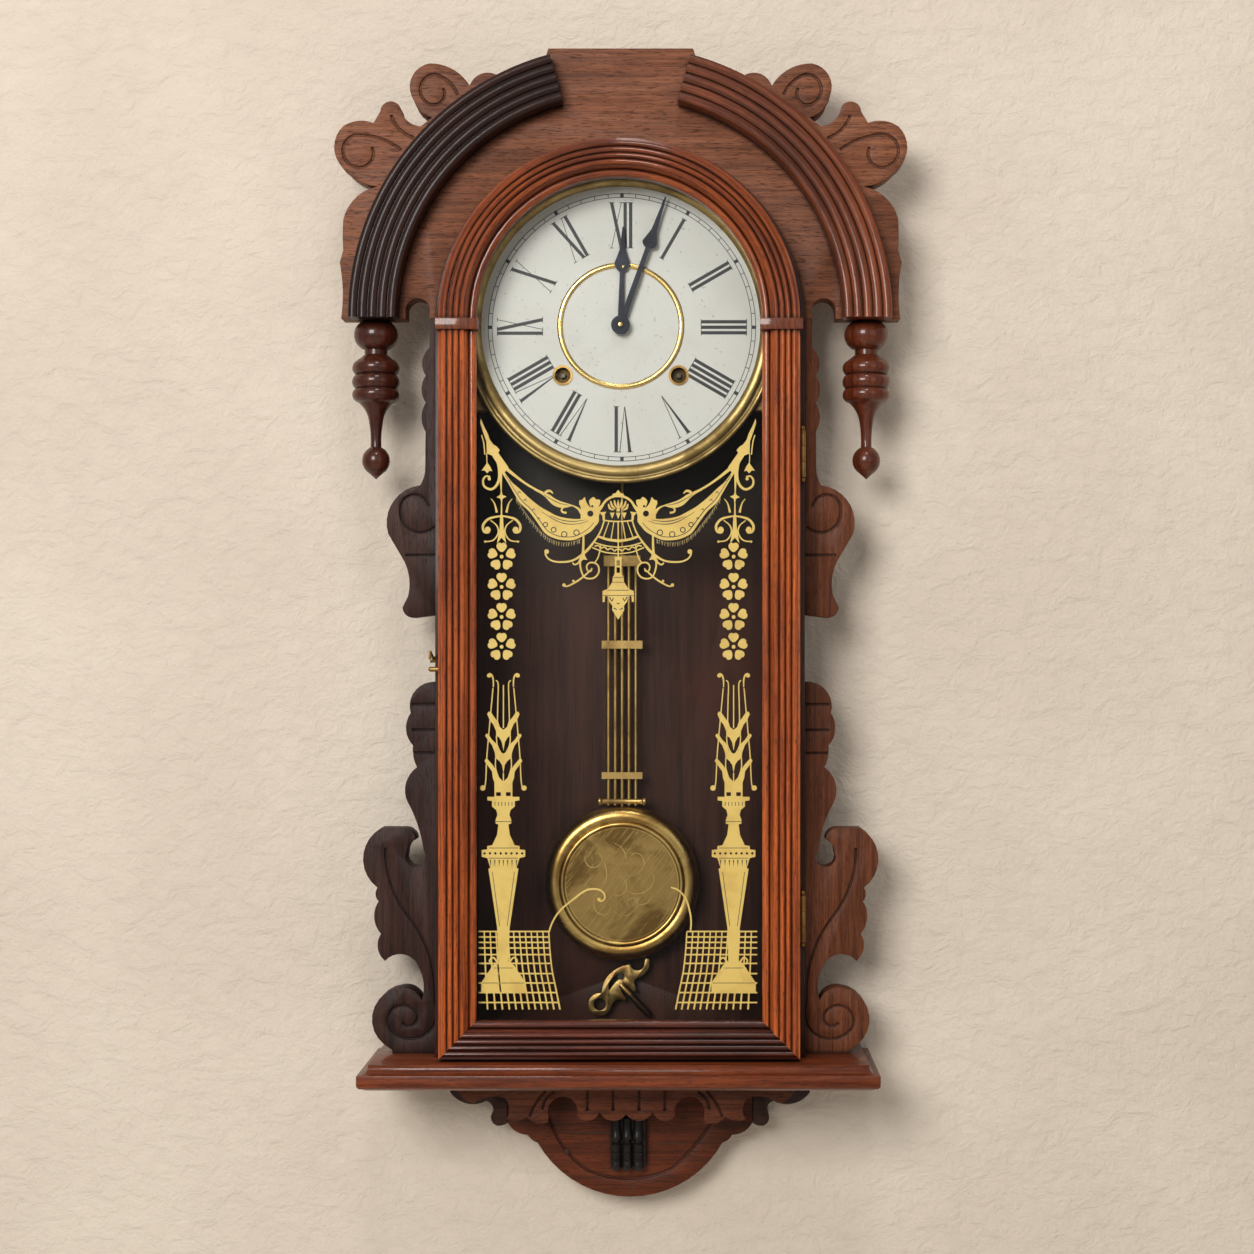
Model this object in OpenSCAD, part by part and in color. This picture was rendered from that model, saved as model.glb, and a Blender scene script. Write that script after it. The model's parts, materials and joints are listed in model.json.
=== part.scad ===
// Hanging clock in the manner of a Vienna regulator: an arched case with a glazed door,
// a scrolled hood, pierced side wings, a moulded shelf and a drop bracket, and inside it
// an eight-day spring movement with a gridiron pendulum.
// Millimetres. +X to the right, +Y to the wall, +Z up.
// The origin is the centre of the hanger's hole, on the wall plane.

/* [Case] */
// Outer width of the case behind the door
case_w = 270; // [262:1:284]
// Thickness of the case sides and of the bent top
case_wall = 10; // [8:0.5:12]
// Distance from the wall to the front of the case
case_depth = 78; // [76:1:92]
// Thickness of the backboard
back_t = 8; // [7:0.5:9]
// Drop from the top of the case to the hanger's hole
hanger_drop = 17; // [14:1:23]
// Drop from the centre of the dial to the shelf
shelf_drop = 536.5; // [530:1:560]

/* [Hood] */
// Height of the crown above the centre of the dial
hood_h = 205; // [203:1:212]
// Thickness of the hood board and of the side wings
board_t = 22; // [16:1:26]
// Distance from the wall to the front of the hood board and wings
board_front = 60; // [50:1:66]
// Width of the hood board between the case and the reeded arch moulding
moulding_in = 28.5; // [26:0.5:30]
// Width of the reeded arch moulding
moulding_w = 35.8; // [30:0.2:37]
// Thickness of the reeded arch moulding
moulding_t = 18; // [12:0.5:22]
// Height of the moulding's centre above the dial's centre
moulding_lift = 4.5; // [3:0.5:8]
// Sweep of each half of the moulding, in degrees
moulding_sweep = 75; // [60:1:80]
// Number of reeds on the arch moulding
moulding_reeds = 5; // [3:1:7]
// Distance from the case's side out to each turned pendant
pendant_out = 47; // [44:0.5:50]

/* [Shelf and bracket] */
// Width of the shelf at its widest
shelf_w = 374.6; // [368:0.2:390]
// Depth of the shelf from the wall
shelf_depth = 118; // [114:1:128]
// Thickness of the shelf
shelf_t = 18; // [17:0.5:22]
// Thickness of the drop board under the shelf
drop_t = 26; // [18:1:32]
// Radius of the drop board's round bottom
drop_r = 79.8; // [78:0.2:82]
// How far the drop board hangs to the right of the middle
drop_shift = 6; // [0:0.5:7]
// Thickness of the scalloped apron
apron_t = 15; // [10:1:18]
// Distance from the wall to the front of the apron
apron_front = 60; // [54:1:80]
// How far the apron and the corbel sit to the right of the middle
apron_shift = 4; // [0:0.5:7]

/* [Door] */
// Step from the case's side in to the door's side
door_step = 4.4; // [4.4:0.1:7]
// Width of the door's moulded frame
frame_w = 27; // [26:0.2:30]
// Thickness of the door
door_t = 24; // [22:0.5:26]
// Gap between the door and the case
door_gap = 0.3; // [0.3:0.05:1]
// Gap between the door's foot and the shelf
floor_gap = 2; // [1:0.5:4]
// Thickness of the glass
glass_t = 2; // [1.5:0.1:3]
// Width of the rebate that holds the glass
rebate_w = 6; // [4:0.5:7]
// Height of each butt hinge
hinge_h = 34; // [28:1:44]

/* [Dial and hands] */
// Gap between the bezel and the inside of the case
bezel_gap = 8.8; // [7:0.1:11]
// Width of the bezel
bezel_w = 13.3; // [12:0.1:15]
// Distance from the wall to the dial's face
dial_front = 60; // [59.5:0.5:62]
// Radius of the winding holes
wind_hole_r = 5.8; // [5:0.1:6.5]
// Distance from the middle to each winding hole
wind_x = 42.8; // [41.5:0.1:44]
// Drop from the dial's centre to the winding holes
wind_drop = 36.4; // [35:0.1:38]
// Gap between the minute hand's tip and the bezel
minute_gap = 2.9; // [1:0.1:8]
// Gap between the hour hand's tip and the bezel
hour_gap = 30.1; // [26:0.1:36]

/* [Pendulum] */
// Radius of the bob
bob_r = 57.5; // [50:0.5:60]
// Drop from the dial's centre to the bob's centre
bob_drop = 414.5; // [408:0.5:430]
// Number of gridiron rods
rods = 5; // [3:1:7]
// Spacing of the gridiron rods
rod_pitch = 5.15; // [4.5:0.05:6]
// Radius of each gridiron rod
rod_r = 1.5; // [1.1:0.1:1.8]
// Distance from the wall to the pendulum's plane
pendulum_y = 24; // [23.5:0.25:25]

/* [Movement] */
// Thickness of the plates
plate_t = 1.5; // [1.2:0.1:1.8]
// Distance from the wall to the back of the back plate
plate_back = 31; // [30.5:0.25:31.5]
// Outside distance over the two plates
movement_t = 23; // [22.5:0.25:23.5]
// Radius of each mainspring
spring_r = 24; // [20:0.5:25]
// Number of teeth of the escape wheel
escape_teeth = 37; // [30:1:40]
// Outside radius of the coiled gong
gong_r = 38; // [34:0.5:39]
// Number of turns of the gong
gong_turns = 4; // [3:1:5]
// Radius of the gong's wire
gong_wire_r = 1.3; // [1:0.1:1.6]

/* [Wall hanger] */
// Radius of the hole that hangs on the wall hook
hanger_hole_r = 5; // [4:0.5:6]
// Thickness of the hanger plate
hanger_t = 2; // [1.5:0.25:3]

/* [Hidden] */

// Smoothness of turned parts and of drawn arcs
$fn = 72;
arc_steps = 9;
// A little more than nothing, for cuts that run past a face
past = 1;
// Clearances: a shaft that turns in a hole, and parts that pass each other
run = 0.05;
pass = 0.3;

// Places worked out from the sizes above
case_half = case_w / 2;
dial_drop = case_half - hanger_drop;
moulding_r = case_half + moulding_in;
pendant_x = case_half + pendant_out;
door_half = case_half - door_step;
door_w = 2 * door_half;
bezel_r = case_half - case_wall - bezel_gap;
dial_r = bezel_r - bezel_w;
minute_len = dial_r - minute_gap;
hour_len = dial_r - hour_gap;
door_back = case_depth + door_gap;
door_front = door_back + door_t;
door_drop = shelf_drop - floor_gap;
opening_half = door_half - frame_w;
shelf_bottom = -shelf_drop - shelf_t;
board_back = board_front - board_t;
front_plate_back = plate_back + movement_t - plate_t;
plate_out = plate_back + movement_t;

// Geometry of arcs, drawn through a point on the way
function arc_center(p, m, q) =
    let (d = 2 * (p.x * (m.y - q.y) + m.x * (q.y - p.y) + q.x * (p.y - m.y)),
         pp = p * p, mm = m * m, qq = q * q)
    [(pp * (m.y - q.y) + mm * (q.y - p.y) + qq * (p.y - m.y)) / d,
     (pp * (q.x - m.x) + mm * (p.x - q.x) + qq * (m.x - p.x)) / d];
function wrap_turn(a) = a - 360 * floor(a / 360);
function arc_by(p, m, q, n) =
    let (c = arc_center(p, m, q), a = atan2(p.y - c.y, p.x - c.x),
         b = atan2(q.y - c.y, q.x - c.x), r = norm(p - c),
         left = (m.x - p.x) * (q.y - m.y) - (m.y - p.y) * (q.x - m.x) > 0,
         turn = left ? wrap_turn(b - a) : -wrap_turn(a - b))
    [for (i = [1:n]) i == n ? q : c + r * [cos(a + turn * i / n), sin(a + turn * i / n)]];

// An outline from its legs: [end] is straight and [way, end] is an arc
function leg_end(leg) = leg[len(leg) - 1];
function leg_points(p, leg, steps) = len(leg) == 1 ? leg : arc_by(p, leg[0], leg[1], steps);
function outline(start, legs, steps = arc_steps, i = 0) = i == len(legs) ? [] :
    concat(i == 0 ? [start] : [], leg_points(start, legs[i], steps),
           outline(leg_end(legs[i]), legs, steps, i + 1));
function flipped(points) = [for (i = [len(points) - 1:-1:0]) if (points[i].x > 0.001)
    [-points[i].x, points[i].y]];
function whole(points) = concat(points, flipped(points));
function moved(points, by) = [for (p = points) p + by];
// Carved boards are drawn at one size and follow the part that they sit on
function sized(points, by) = [for (p = points) p * by];
hood_scale = case_w / 270;
wing_scale = shelf_drop / 536.5;
bracket_scale = shelf_w / 374.6;

// A run of round reeds, from x to x + width, on a flat at height base
function reeds(x, width, base, rise, count) =
    let (w = width / count)
    [for (k = [0:count - 1]) for (i = [0:6])
        let (a = 180 - 180 * i / 6)
        [x + w * (k + 0.5) + 0.48 * w * cos(a), base + rise * sin(a)]];

// Frames of reference and small helpers
module at_dial() {
    translate([0, 0, -dial_drop]) children();
}
// An outline in the XZ plane made into a board between two distances from the wall
module board(points, front, back) {
    translate([0, -back, 0]) rotate([90, 0, 0]) linear_extrude(front - back) polygon(points);
}
// A shaft along Y between two distances from the wall
module shaft(r, front, back, x = 0, z = 0) {
    translate([x, -back, z]) rotate([90, 0, 0]) cylinder(r = r, h = front - back);
}
module turned(points, front) {
    translate([0, -front, 0]) rotate([90, 0, 0]) rotate_extrude() polygon(points);
}
module left_side() {
    mirror([1, 0, 0]) children();
}

// Outlines of the carved boards, right half, from the dial's centre
crown_half = 53.5;
foot_z = 5.4;
hood_edge = concat([[crown_half * hood_scale, hood_h]], sized(outline([55.5, 198.5], [
    [[56, 196.5]],
    [[74, 191.5], [90, 184.5]],
    [[100.5, 187], [111.5, 177.5]],
    [[124.5, 190], [141, 194]],
    [[155.5, 180], [152.5, 166.5]],
    [[148, 158.5], [139.5, 154]],
    [[147.5, 147.5]],
    [[156, 150.5], [162, 158.5]],
    [[169, 166], [177.5, 158.5]],
    [[182.5, 150]],
    [[195, 151.5], [205, 147.5]],
    [[211.5, 134], [202, 114.5]],
    [[192, 106.5], [180, 103]],
    [[196.5, 94], [204.8, 79]],
    [[205.2, 67], [204.8, 56]],
    [[207.5, 47]],
    [[205.2, 20], [206.5, foot_z]]
]), hood_scale));
// Notch between the hood's foot and its inner leg
notch_in = 6.2;
notch_out = 23.6;
notch_top = 20.5;

// Side wings, from the case's side and the dial's centre
upper_wing = sized(outline([0, foot_z], [
    [[notch_in, foot_z]], [[notch_in, -16]],
    [[11.5, -26], [9, -36.5]],
    [[12, -46.5], [9, -56.5]],
    [[12, -67.5], [9, -78]],
    [[9.3, -104.5]],
    [[10.5, -112], [13, -117.5]],
    [[35, -133], [36.5, -153.5]],
    [[26.5, -170.5]],
    [[21, -187], [22, -199.5]],
    [[26, -207.5]],
    [[22.5, -214], [16, -215]],
    [[0, -213]]
]), wing_scale);
lower_wing = sized(outline([0, -262.5], [
    [[2.5, -262.5]],
    [[17.5, -270], [20, -285.5]],
    [[23.5, -297], [18.3, -309.5]],
    [[18, -318], [15.3, -325.5]],
    [[23.5, -337], [20.5, -354.5]],
    [[14, -371], [10.5, -387]],
    [[17, -399.3], [23, -388.5]],
    [[21.5, -383], [16.3, -379]],
    [[19, -373], [25, -370.5]],
    [[42, -370.5]],
    [[55, -390], [44.5, -414.5]],
    [[46, -419.5], [43.7, -424.5]],
    [[47, -436], [42, -448.5]],
    [[44.5, -457], [39, -468.5]],
    [[27, -463.5], [13.5, -474.5]],
    [[10.5, -486], [12, -497.5]],
    [[17.5, -490.5], [28, -488.5]],
    [[48.5, -509], [40, -529.8]],
    [[33.5, -534.5]], [[33.5, -536.5]], [[0, -536.5]]
]), wing_scale);

// Carved lines on the face of the boards
groove_d = 1.4;
groove_w = 2;
function ribbon(points, w) =
    let (n = len(points) - 1,
         side = [for (i = [0:n])
             let (d = points[min(i + 1, n)] - points[max(i - 1, 0)])
             [-d.y, d.x] * w / 2 / norm(d)])
    concat([for (i = [0:n]) points[i] + side[i]], [for (i = [n:-1:0]) points[i] - side[i]]);
module groove(points, front) {
    board(ribbon(points, groove_w), front + past, front - groove_d);
}

// Case
module backboard() {
    color([0.22, 0.13, 0.09]) difference() {
        at_dial() union() {
            shaft(case_half, back_t, 0);
            translate([-case_half, -back_t, -shelf_drop]) cube([case_w, back_t, shelf_drop]);
        }
        hanger_plate_shape(hanger_t);
        shaft(hanger_hole_r + 4, back_t - 1.5, 0);
        for (x = [-1, 1] * screw_x) hanger_screw(x);
        key_nail_shank();
    }
}
module case_side(right) {
    color([0.36, 0.2, 0.12]) at_dial() difference() {
        translate([right ? case_half - case_wall : -case_half, -case_depth, -shelf_drop])
            cube([case_wall, case_depth - back_t, shelf_drop]);
        if (right) for (z = hinge_z) case_leaf_cut(z);
        if (!right) latch_screw_shank();
    }
}
module case_top_arch() {
    color([0.36, 0.2, 0.12]) at_dial() difference() {
        shaft(case_half, case_depth, back_t);
        shaft(case_half - case_wall, case_depth + past, 0);
        translate([-case_w, -2 * case_depth, -case_w]) cube([2 * case_w, 3 * case_depth, case_w]);
    }
}

// Shelf: one moulded edge, cut along the front and along both ends
shelf_edge = outline([7.3, 0], [
    [[6.4, -4.6], [1.4, -6.3]], [[0, -6.8]], [[0, -13.2]],
    [[0.9, -15.6], [3.3, -16.6]], [[6.3, -shelf_t]]
]);
module base_shelf() {
    side = [for (p = shelf_edge) [shelf_w / 2 - p.x, p.y]];
    front = [for (p = shelf_edge) [p.x - shelf_depth, p.y]];
    color([0.43, 0.21, 0.13]) translate([0, 0, -dial_drop - shelf_drop]) intersection() {
        board(whole(side), shelf_depth, 0);
        translate([-shelf_w / 2, 0, 0]) rotate([90, 0, 90]) linear_extrude(shelf_w)
            polygon(concat(front, [[0, -shelf_t], [0, 0]]));
    }
}

// Hood
module hood_board() {
    color([0.49, 0.33, 0.25]) at_dial() difference() {
        board(whole(hood_edge), board_front, board_back);
        shaft(case_half, board_front + past, board_back - past);
        notch_w = notch_out - notch_in;
        for (side = [-1, 1]) {
            x = side * (case_half + (notch_in + notch_out) / 2);
            shaft(notch_w / 2, board_front + past, board_back - past, x, notch_top - notch_w / 2);
            translate([x - notch_w / 2, -board_front - past, 0])
                cube([notch_w, board_t + 2 * past, notch_top - notch_w / 2]);
        }
        for (side = [0, 1]) mirror([side, 0, 0]) scale([hood_scale, 1, hood_scale]) hood_carving();
    }
}
// Volute lines of the two scrolls on each side of the hood
module hood_carving() {
    groove(outline([162, 130], [
        [[181, 139.5], [196.5, 141]], [[205, 131], [196, 117.5]],
        [[184, 122], [183.5, 132]]]), board_front);
    groove(outline([120.3, 170.8], [
        [[129, 182], [137, 186]], [[147.5, 178], [144, 165.7]],
        [[136.5, 163.4], [131, 175.5]]]), board_front);
    groove(outline([169.4, 155.6], [[[163.5, 145.5], [152.7, 139]]]), board_front);
}
moulding_profile = concat(
    [[0, 0]], reeds(0, moulding_w, moulding_t - 2.6, 2.6, moulding_reeds), [[moulding_w, 0]]);
module hood_moulding() {
    at_dial() translate([0, -board_front, moulding_lift]) rotate([90, 0, 0])
        rotate_extrude(angle = moulding_sweep)
        polygon(moved(moulding_profile, [moulding_r, 0]));
}
module hood_moulding_left() {
    color([0.26, 0.14, 0.1]) left_side() hood_moulding();
}
module hood_moulding_right() {
    color([0.45, 0.23, 0.13]) hood_moulding();
}

// Wings
module upper_wing_shape() {
    at_dial() difference() {
        board(moved(upper_wing, [case_half, 0]), board_front, board_back);
        translate([case_half, 0, 0]) scale([wing_scale, 1, wing_scale]) {
            groove(outline([2, -148], [
                [[16, -152], [27.5, -136]], [[15, -124.5], [6.5, -133]]]), board_front);
            groove([[1, -169], [24, -169]], board_front);
        }
    }
}
module lower_wing_shape() {
    at_dial() difference() {
        board(moved(lower_wing, [case_half, 0]), board_front, board_back);
        translate([case_half, 0, 0]) scale([wing_scale, 1, wing_scale]) {
            groove(outline([38.5, -385], [
                [[36.5, -405], [22, -435]], [[6, -465], [2, -498]],
                [[13.5, -525], [35, -519]], [[32, -503], [15.5, -507]],
                [[19, -516], [26, -514]]]), board_front);
            for (z = [-279, -298, -315]) groove([[1, z], [19, z]], board_front);
        }
    }
}

module upper_wing_left() {
    color([0.25, 0.16, 0.14]) left_side() upper_wing_shape();
}
module upper_wing_right() {
    color([0.38, 0.24, 0.18]) upper_wing_shape();
}
module lower_wing_left() {
    color([0.25, 0.16, 0.14]) left_side() lower_wing_shape();
}
module lower_wing_right() {
    color([0.38, 0.24, 0.18]) lower_wing_shape();
}

// Turned pendants under the hood's feet
pendant_edge = concat([[0, foot_z]], outline([9, foot_z], [
    [[16.2, -3.5], [8.4, -16.5]], [[8.4, -20]], [[15, -25]],
    [[17.6, -29.8], [15, -34.8]], [[17.7, -40.2], [15.4, -45.2]],
    [[17.6, -50], [13, -55.4]], [[7.6, -62], [5, -71]], [[4, -80], [4, -88.5]],
    [[10.3, -97.5], [5, -108]], [[0, -112.4]]
]));
module pendant() {
    at_dial() translate([pendant_x, -(board_front + board_back) / 2, 0])
        rotate_extrude() polygon(pendant_edge);
}
module pendant_left() {
    color([0.3, 0.19, 0.15]) left_side() pendant();
}
module pendant_right() {
    color([0.36, 0.22, 0.16]) pendant();
}

// Drop bracket under the shelf, drawn down from the shelf's underside
ear_in = 92;
drop_mid = -16.2;
drop_end = [69.7, -55.1];
function on_drop(x) = [x, drop_mid - sqrt(drop_r * drop_r - x * x)];
drop_edge = outline([ear_in, 0], [
    [[ear_in, -40.3]], [[87.6, -45.7], [76.7, -49.4]], [[73.7, -53.3], drop_end],
    [on_drop(40), on_drop(0)]
]);
ear_edge = outline([ear_in, 0], [
    [[137, 0]], [[135.4, -17.5]], [[121.1, -26.3], [108.1, -23.9]],
    [[103.8, -27.5], [103.1, -32]], [[104.6, -38], [100.1, -42.7]], [[95.5, -42.2], [ear_in, -40.3]]
]);
module at_bracket(shift) {
    translate([shift, 0, -dial_drop + shelf_bottom]) scale([bracket_scale, 1, bracket_scale])
        children();
}
module bracket_board() {
    color([0.45, 0.26, 0.16]) at_bracket(drop_shift) difference() {
        board(whole(drop_edge), drop_t, 0);
        groove(outline([-61.3, -34.1], [
            [[-48.5, -60.4], [-32.7, -75.4]], [[0, -82.1], [31, -75.1]],
            [[47, -59.3], [61, -40.5]]]), drop_t);
    }
}
module bracket_ears() {
    color([0.3, 0.17, 0.11]) at_bracket(drop_shift) for (side = [0, 1]) mirror([side, 0, 0])
        board(ear_edge, drop_t, 0);
}
apron_edge = outline([0, -27.1], [
    [[9.8, -32], [19.6, -25.2]], [[28.4, -32], [36.2, -28.7]],
    [[46.8, -14], [57.4, -28.7]], [[57.8, -33]], [[66.4, -33.8], [73, -29]],
    [[80.5, -31.8], [88.2, -30.8]], [[86.2, -21.5], [90, -15]],
    [[99, -14], [112, -19]], [[119.5, -16], [124.4, -9]], [[124.4, 0]], [[0, 0]]
]);
module bracket_apron() {
    color([0.47, 0.27, 0.17]) at_bracket(apron_shift) difference() {
        board(whole(apron_edge), apron_front, apron_front - apron_t);
        for (x = [-28.6, -9.6, 9.6, 28.6]) {
            groove([[x, -1], [x, -22.5]], apron_front);
            shaft(1.4, apron_front + past, apron_front - 2.2, x, -23.5);
        }
        for (side = [0, 1]) mirror([side, 0, 0]) {
            groove(outline([53, -10.5], [[[58.5, -15], [61.5, -23.5]]]), apron_front);
            groove(outline([59.5, -10], [[[66, -18], [71, -29]]]), apron_front);
        }
    }
}
// A dark carved corbel: three leaves over three banded fingers, on a wedge
finger_pitch = 8.1;
finger_edge = outline([0, -35], [
    [[3.1, -35]], [[3.3, -44], [4.4, -49]], [[4, -51], [2.7, -51.6]], [[2.7, -53.2]], [[3.6, -54]],
    [[4.2, -55.2], [3.6, -56.4]], [[3.6, -59.8]], [[4.2, -61], [3.6, -62.2]], [[3.6, -65.4]],
    [[4.2, -66.6], [3.6, -67.8]], [[3.7, -72], [2.2, -74.4]], [[0, -74.9]]
], 3);
module bracket_corbel() {
    color([0.12, 0.11, 0.11]) at_bracket(apron_shift) union() {
        translate([-finger_pitch * 1.45, -drop_t - 7, -72]) cube([3.15 * finger_pitch, 7, 37]);
        for (k = [-1:1]) translate([k * finger_pitch, -drop_t - 8, 0])
            rotate_extrude($fn = 24) polygon(finger_edge);
    }
}

// Wall hanger
plate_w = 62;
plate_h = 20;
screw_x = 23;
module hanger_plate_shape(t) {
    translate([-plate_w / 2, -t, -plate_h / 2]) cube([plate_w, t, plate_h]);
}
module hanger_screw(x) {
    translate([x, 0, 0]) rotate([90, 0, 0]) union() {
        cylinder(r1 = 3.4, r2 = 1.6, h = 1.6);
        cylinder(r = 1.6, h = back_t - 1.5);
    }
}
module wall_hanger() {
    color([0.4, 0.38, 0.35]) difference() {
        hanger_plate_shape(hanger_t);
        shaft(hanger_hole_r, hanger_t + past, -past);
        for (x = [-1, 1] * screw_x) hanger_screw(x);
    }
}
module hanger_screws() {
    color([0.6, 0.58, 0.55]) for (x = [-1, 1] * screw_x) hanger_screw(x);
}

// Door
arch_reed_d = 2.4;
door_profile = concat(
    [[rebate_w, 0], [rebate_w, 10], [0, 10]],
    outline([0, 14], [
        [[0.6, 17.3], [2.7, door_t - 5.7]], [[4.6, door_t - 6.2], [5.3, door_t - 7.4]],
        [[5.9, door_t - 4.6], [7.2, door_t - 3]]], 4),
    reeds(7.4, frame_w - 9.2, door_t - arch_reed_d - 0.6, arch_reed_d, 4),
    [[frame_w, door_t - 3.6], [frame_w, 0]]);
// The frame's profile laid so that its inner edge is at x = opening_half
module frame_profile() {
    translate([opening_half, 0]) polygon(door_profile);
}
// A block with one face on the right corner's mitre, below it or above it
module mitre_block(above) {
    translate([opening_half, -door_front - past, -door_drop + frame_w]) rotate([0, 45, 0])
        translate([-2 * frame_w, 0, above ? 0 : -3 * frame_w])
        cube([4 * frame_w, door_t + 2 * past, 3 * frame_w]);
}
module stile_blank() {
    difference() {
        translate([0, -door_back, -door_drop]) linear_extrude(door_drop)
            mirror([0, 1]) frame_profile();
        mitre_block(false);
    }
}
module door_stile_left() {
    color([0.6, 0.31, 0.16]) at_dial() difference() {
        left_side() stile_blank();
        latch_peg_shape();
    }
}
module door_stile_right() {
    color([0.6, 0.31, 0.16]) at_dial() difference() {
        stile_blank();
        for (z = hinge_z) door_leaf_cut(z);
    }
}
module door_arch() {
    color([0.6, 0.31, 0.16]) at_dial() translate([0, -door_back, 0]) rotate([90, 0, 0])
        rotate_extrude(angle = 180) frame_profile();
}
module door_bottom_rail() {
    color([0.58, 0.3, 0.16]) at_dial() difference() {
        translate([-door_half, -door_back, -door_drop + frame_w + opening_half])
            rotate([90, 90, 90]) linear_extrude(door_w) mirror([0, 1]) frame_profile();
        mitre_block(true);
        left_side() mitre_block(true);
    }
}
// A plain square collar wraps each stile where the arch springs
collar_h = 8;
collar_t = 1.8;
module door_collars() {
    color([0.55, 0.28, 0.14]) at_dial() for (side = [0, 1]) mirror([side, 0, 0])
        difference() {
            translate([opening_half - collar_t, -door_front - collar_t, -collar_h])
                cube([frame_w + 2 * collar_t, door_t - 10 + collar_t, collar_h]);
            translate([0, -door_back, -collar_h - past]) linear_extrude(collar_h + 2 * past)
                mirror([0, 1]) frame_profile();
        }
}
// Glass and its retaining beads, with a square foot and a round head
module pane(half, foot, front, back) {
    shaft(half, front, back);
    translate([-half, -front, -foot]) cube([2 * half, front - back, foot]);
}
glass_half = opening_half + rebate_w - 0.2;
glass_foot = door_drop - frame_w + rebate_w - 0.2;
module door_glass() {
    color([0.75, 0.85, 0.85, 0.35]) at_dial()
        pane(glass_half, glass_foot, door_back + 10, door_back + 10 - glass_t);
}
module glass_beads() {
    bead_in = rebate_w - 1;
    color([0.4, 0.22, 0.13]) at_dial() difference() {
        pane(glass_half, glass_foot, door_back + 10 - glass_t, door_back + 2.5);
        pane(glass_half - bead_in, glass_foot - bead_in, door_back + 10, door_back);
    }
}

// Butt hinges at the right, one pair of leaves each
hinge_z = [-96, -435];
hinge_r = 2.3;
hinge_pin_r = 1.2;
leaf_t = 1.2;
hinge_x = door_half + hinge_r + pass;
hinge_y = case_depth + hinge_r + pass;
knuckle_h = hinge_h / 3;
case_leaf_x = case_half - case_wall + 1;
door_leaf_x = door_half - 11.5;
module case_leaf_cut(z) {
    translate([case_leaf_x, -case_depth - past, z - hinge_h / 2])
        cube([case_wall + past, leaf_t + past, hinge_h]);
}
module door_leaf_cut(z) {
    translate([door_leaf_x, -door_back - leaf_t, z - hinge_h / 2])
        cube([door_half - door_leaf_x + past, leaf_t + past, hinge_h]);
}
module knuckle(z0, z1, bore) {
    translate([hinge_x, -hinge_y, z0]) difference() {
        cylinder(r = hinge_r, h = z1 - z0);
        if (bore > 0) translate([0, 0, -past]) cylinder(r = bore, h = z1 - z0 + 2 * past);
    }
}
module hinge_leaves_case() {
    color([0.75, 0.62, 0.35]) at_dial() for (z = hinge_z) {
        low = z - knuckle_h / 2 + pass / 2;
        high = z + knuckle_h / 2 - pass / 2;
        knuckle(low, high, 0);
        translate([case_leaf_x, -case_depth, z - hinge_h / 2])
            cube([case_half - 0.6 - case_leaf_x, leaf_t, hinge_h]);
        translate([hinge_x - 1, -hinge_y, low]) cube([2, hinge_y - case_depth + leaf_t, high - low]);
        translate([hinge_x, -hinge_y, z - hinge_h / 2 - 1]) cylinder(r = hinge_pin_r, h = hinge_h + 2);
        for (side = [-1, 1]) translate([hinge_x, -hinge_y, z + side * (hinge_h / 2 + 1.8)])
            sphere(r = 1.9, $fn = 32);
    }
}
module hinge_leaves_door() {
    color([0.75, 0.62, 0.35]) at_dial() for (z = hinge_z) {
        for (side = [-1, 1]) {
            a = z + side * (knuckle_h / 2 + pass / 2);
            b = z + side * hinge_h / 2;
            difference() {
                union() {
                    knuckle(min(a, b), max(a, b), 0);
                    translate([door_half, -hinge_y, min(a, b)])
                        cube([hinge_x - door_half, hinge_y - door_back, abs(b - a)]);
                    translate([door_half - past, -door_back - leaf_t, min(a, b)])
                        cube([hinge_x - door_half + past, leaf_t, abs(b - a)]);
                }
                translate([hinge_x, -hinge_y, min(a, b) - past])
                    cylinder(r = hinge_pin_r + run, h = abs(b - a) + 2 * past);
            }
        }
        translate([door_leaf_x, -door_back - leaf_t, z - hinge_h / 2])
            cube([door_half - door_leaf_x, leaf_t, hinge_h]);
    }
}

// Latch: a wire hook on the case's side and a peg in the door's edge
latch_y = case_depth - 12;
latch_z = -246;
peg_z = -253;
peg_r = 1.8;
peg_len = 7.8;
latch_wire_r = 0.9;
latch_plane = case_half + 2.1;
latch_lift = 21;
latch_grip = 8;
module latch_screw_shank() {
    translate([-case_half + latch_grip, -latch_y, latch_z]) rotate([0, -90, 0])
        cylinder(r = 1.2, h = latch_grip + latch_plane - case_half + 1 + pass);
}
module latch_screw() {
    color([0.75, 0.62, 0.35]) at_dial() {
        latch_screw_shank();
        translate([-latch_plane - 1 - pass, -latch_y, latch_z]) rotate([0, -90, 0])
            cylinder(r = 2.4, h = 1.4);
    }
}
module latch_peg_shape() {
    translate([-door_half, -door_back - door_t / 2, peg_z]) rotate([0, -90, 0]) union() {
        translate([0, 0, -8]) cylinder(r = peg_r, h = 8 + peg_len - 1);
        translate([0, 0, peg_len - 1]) cylinder(r1 = peg_r, r2 = 1, h = 1);
    }
}
module latch_peg() {
    color([0.75, 0.62, 0.35]) at_dial() latch_peg_shape();
}
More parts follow.
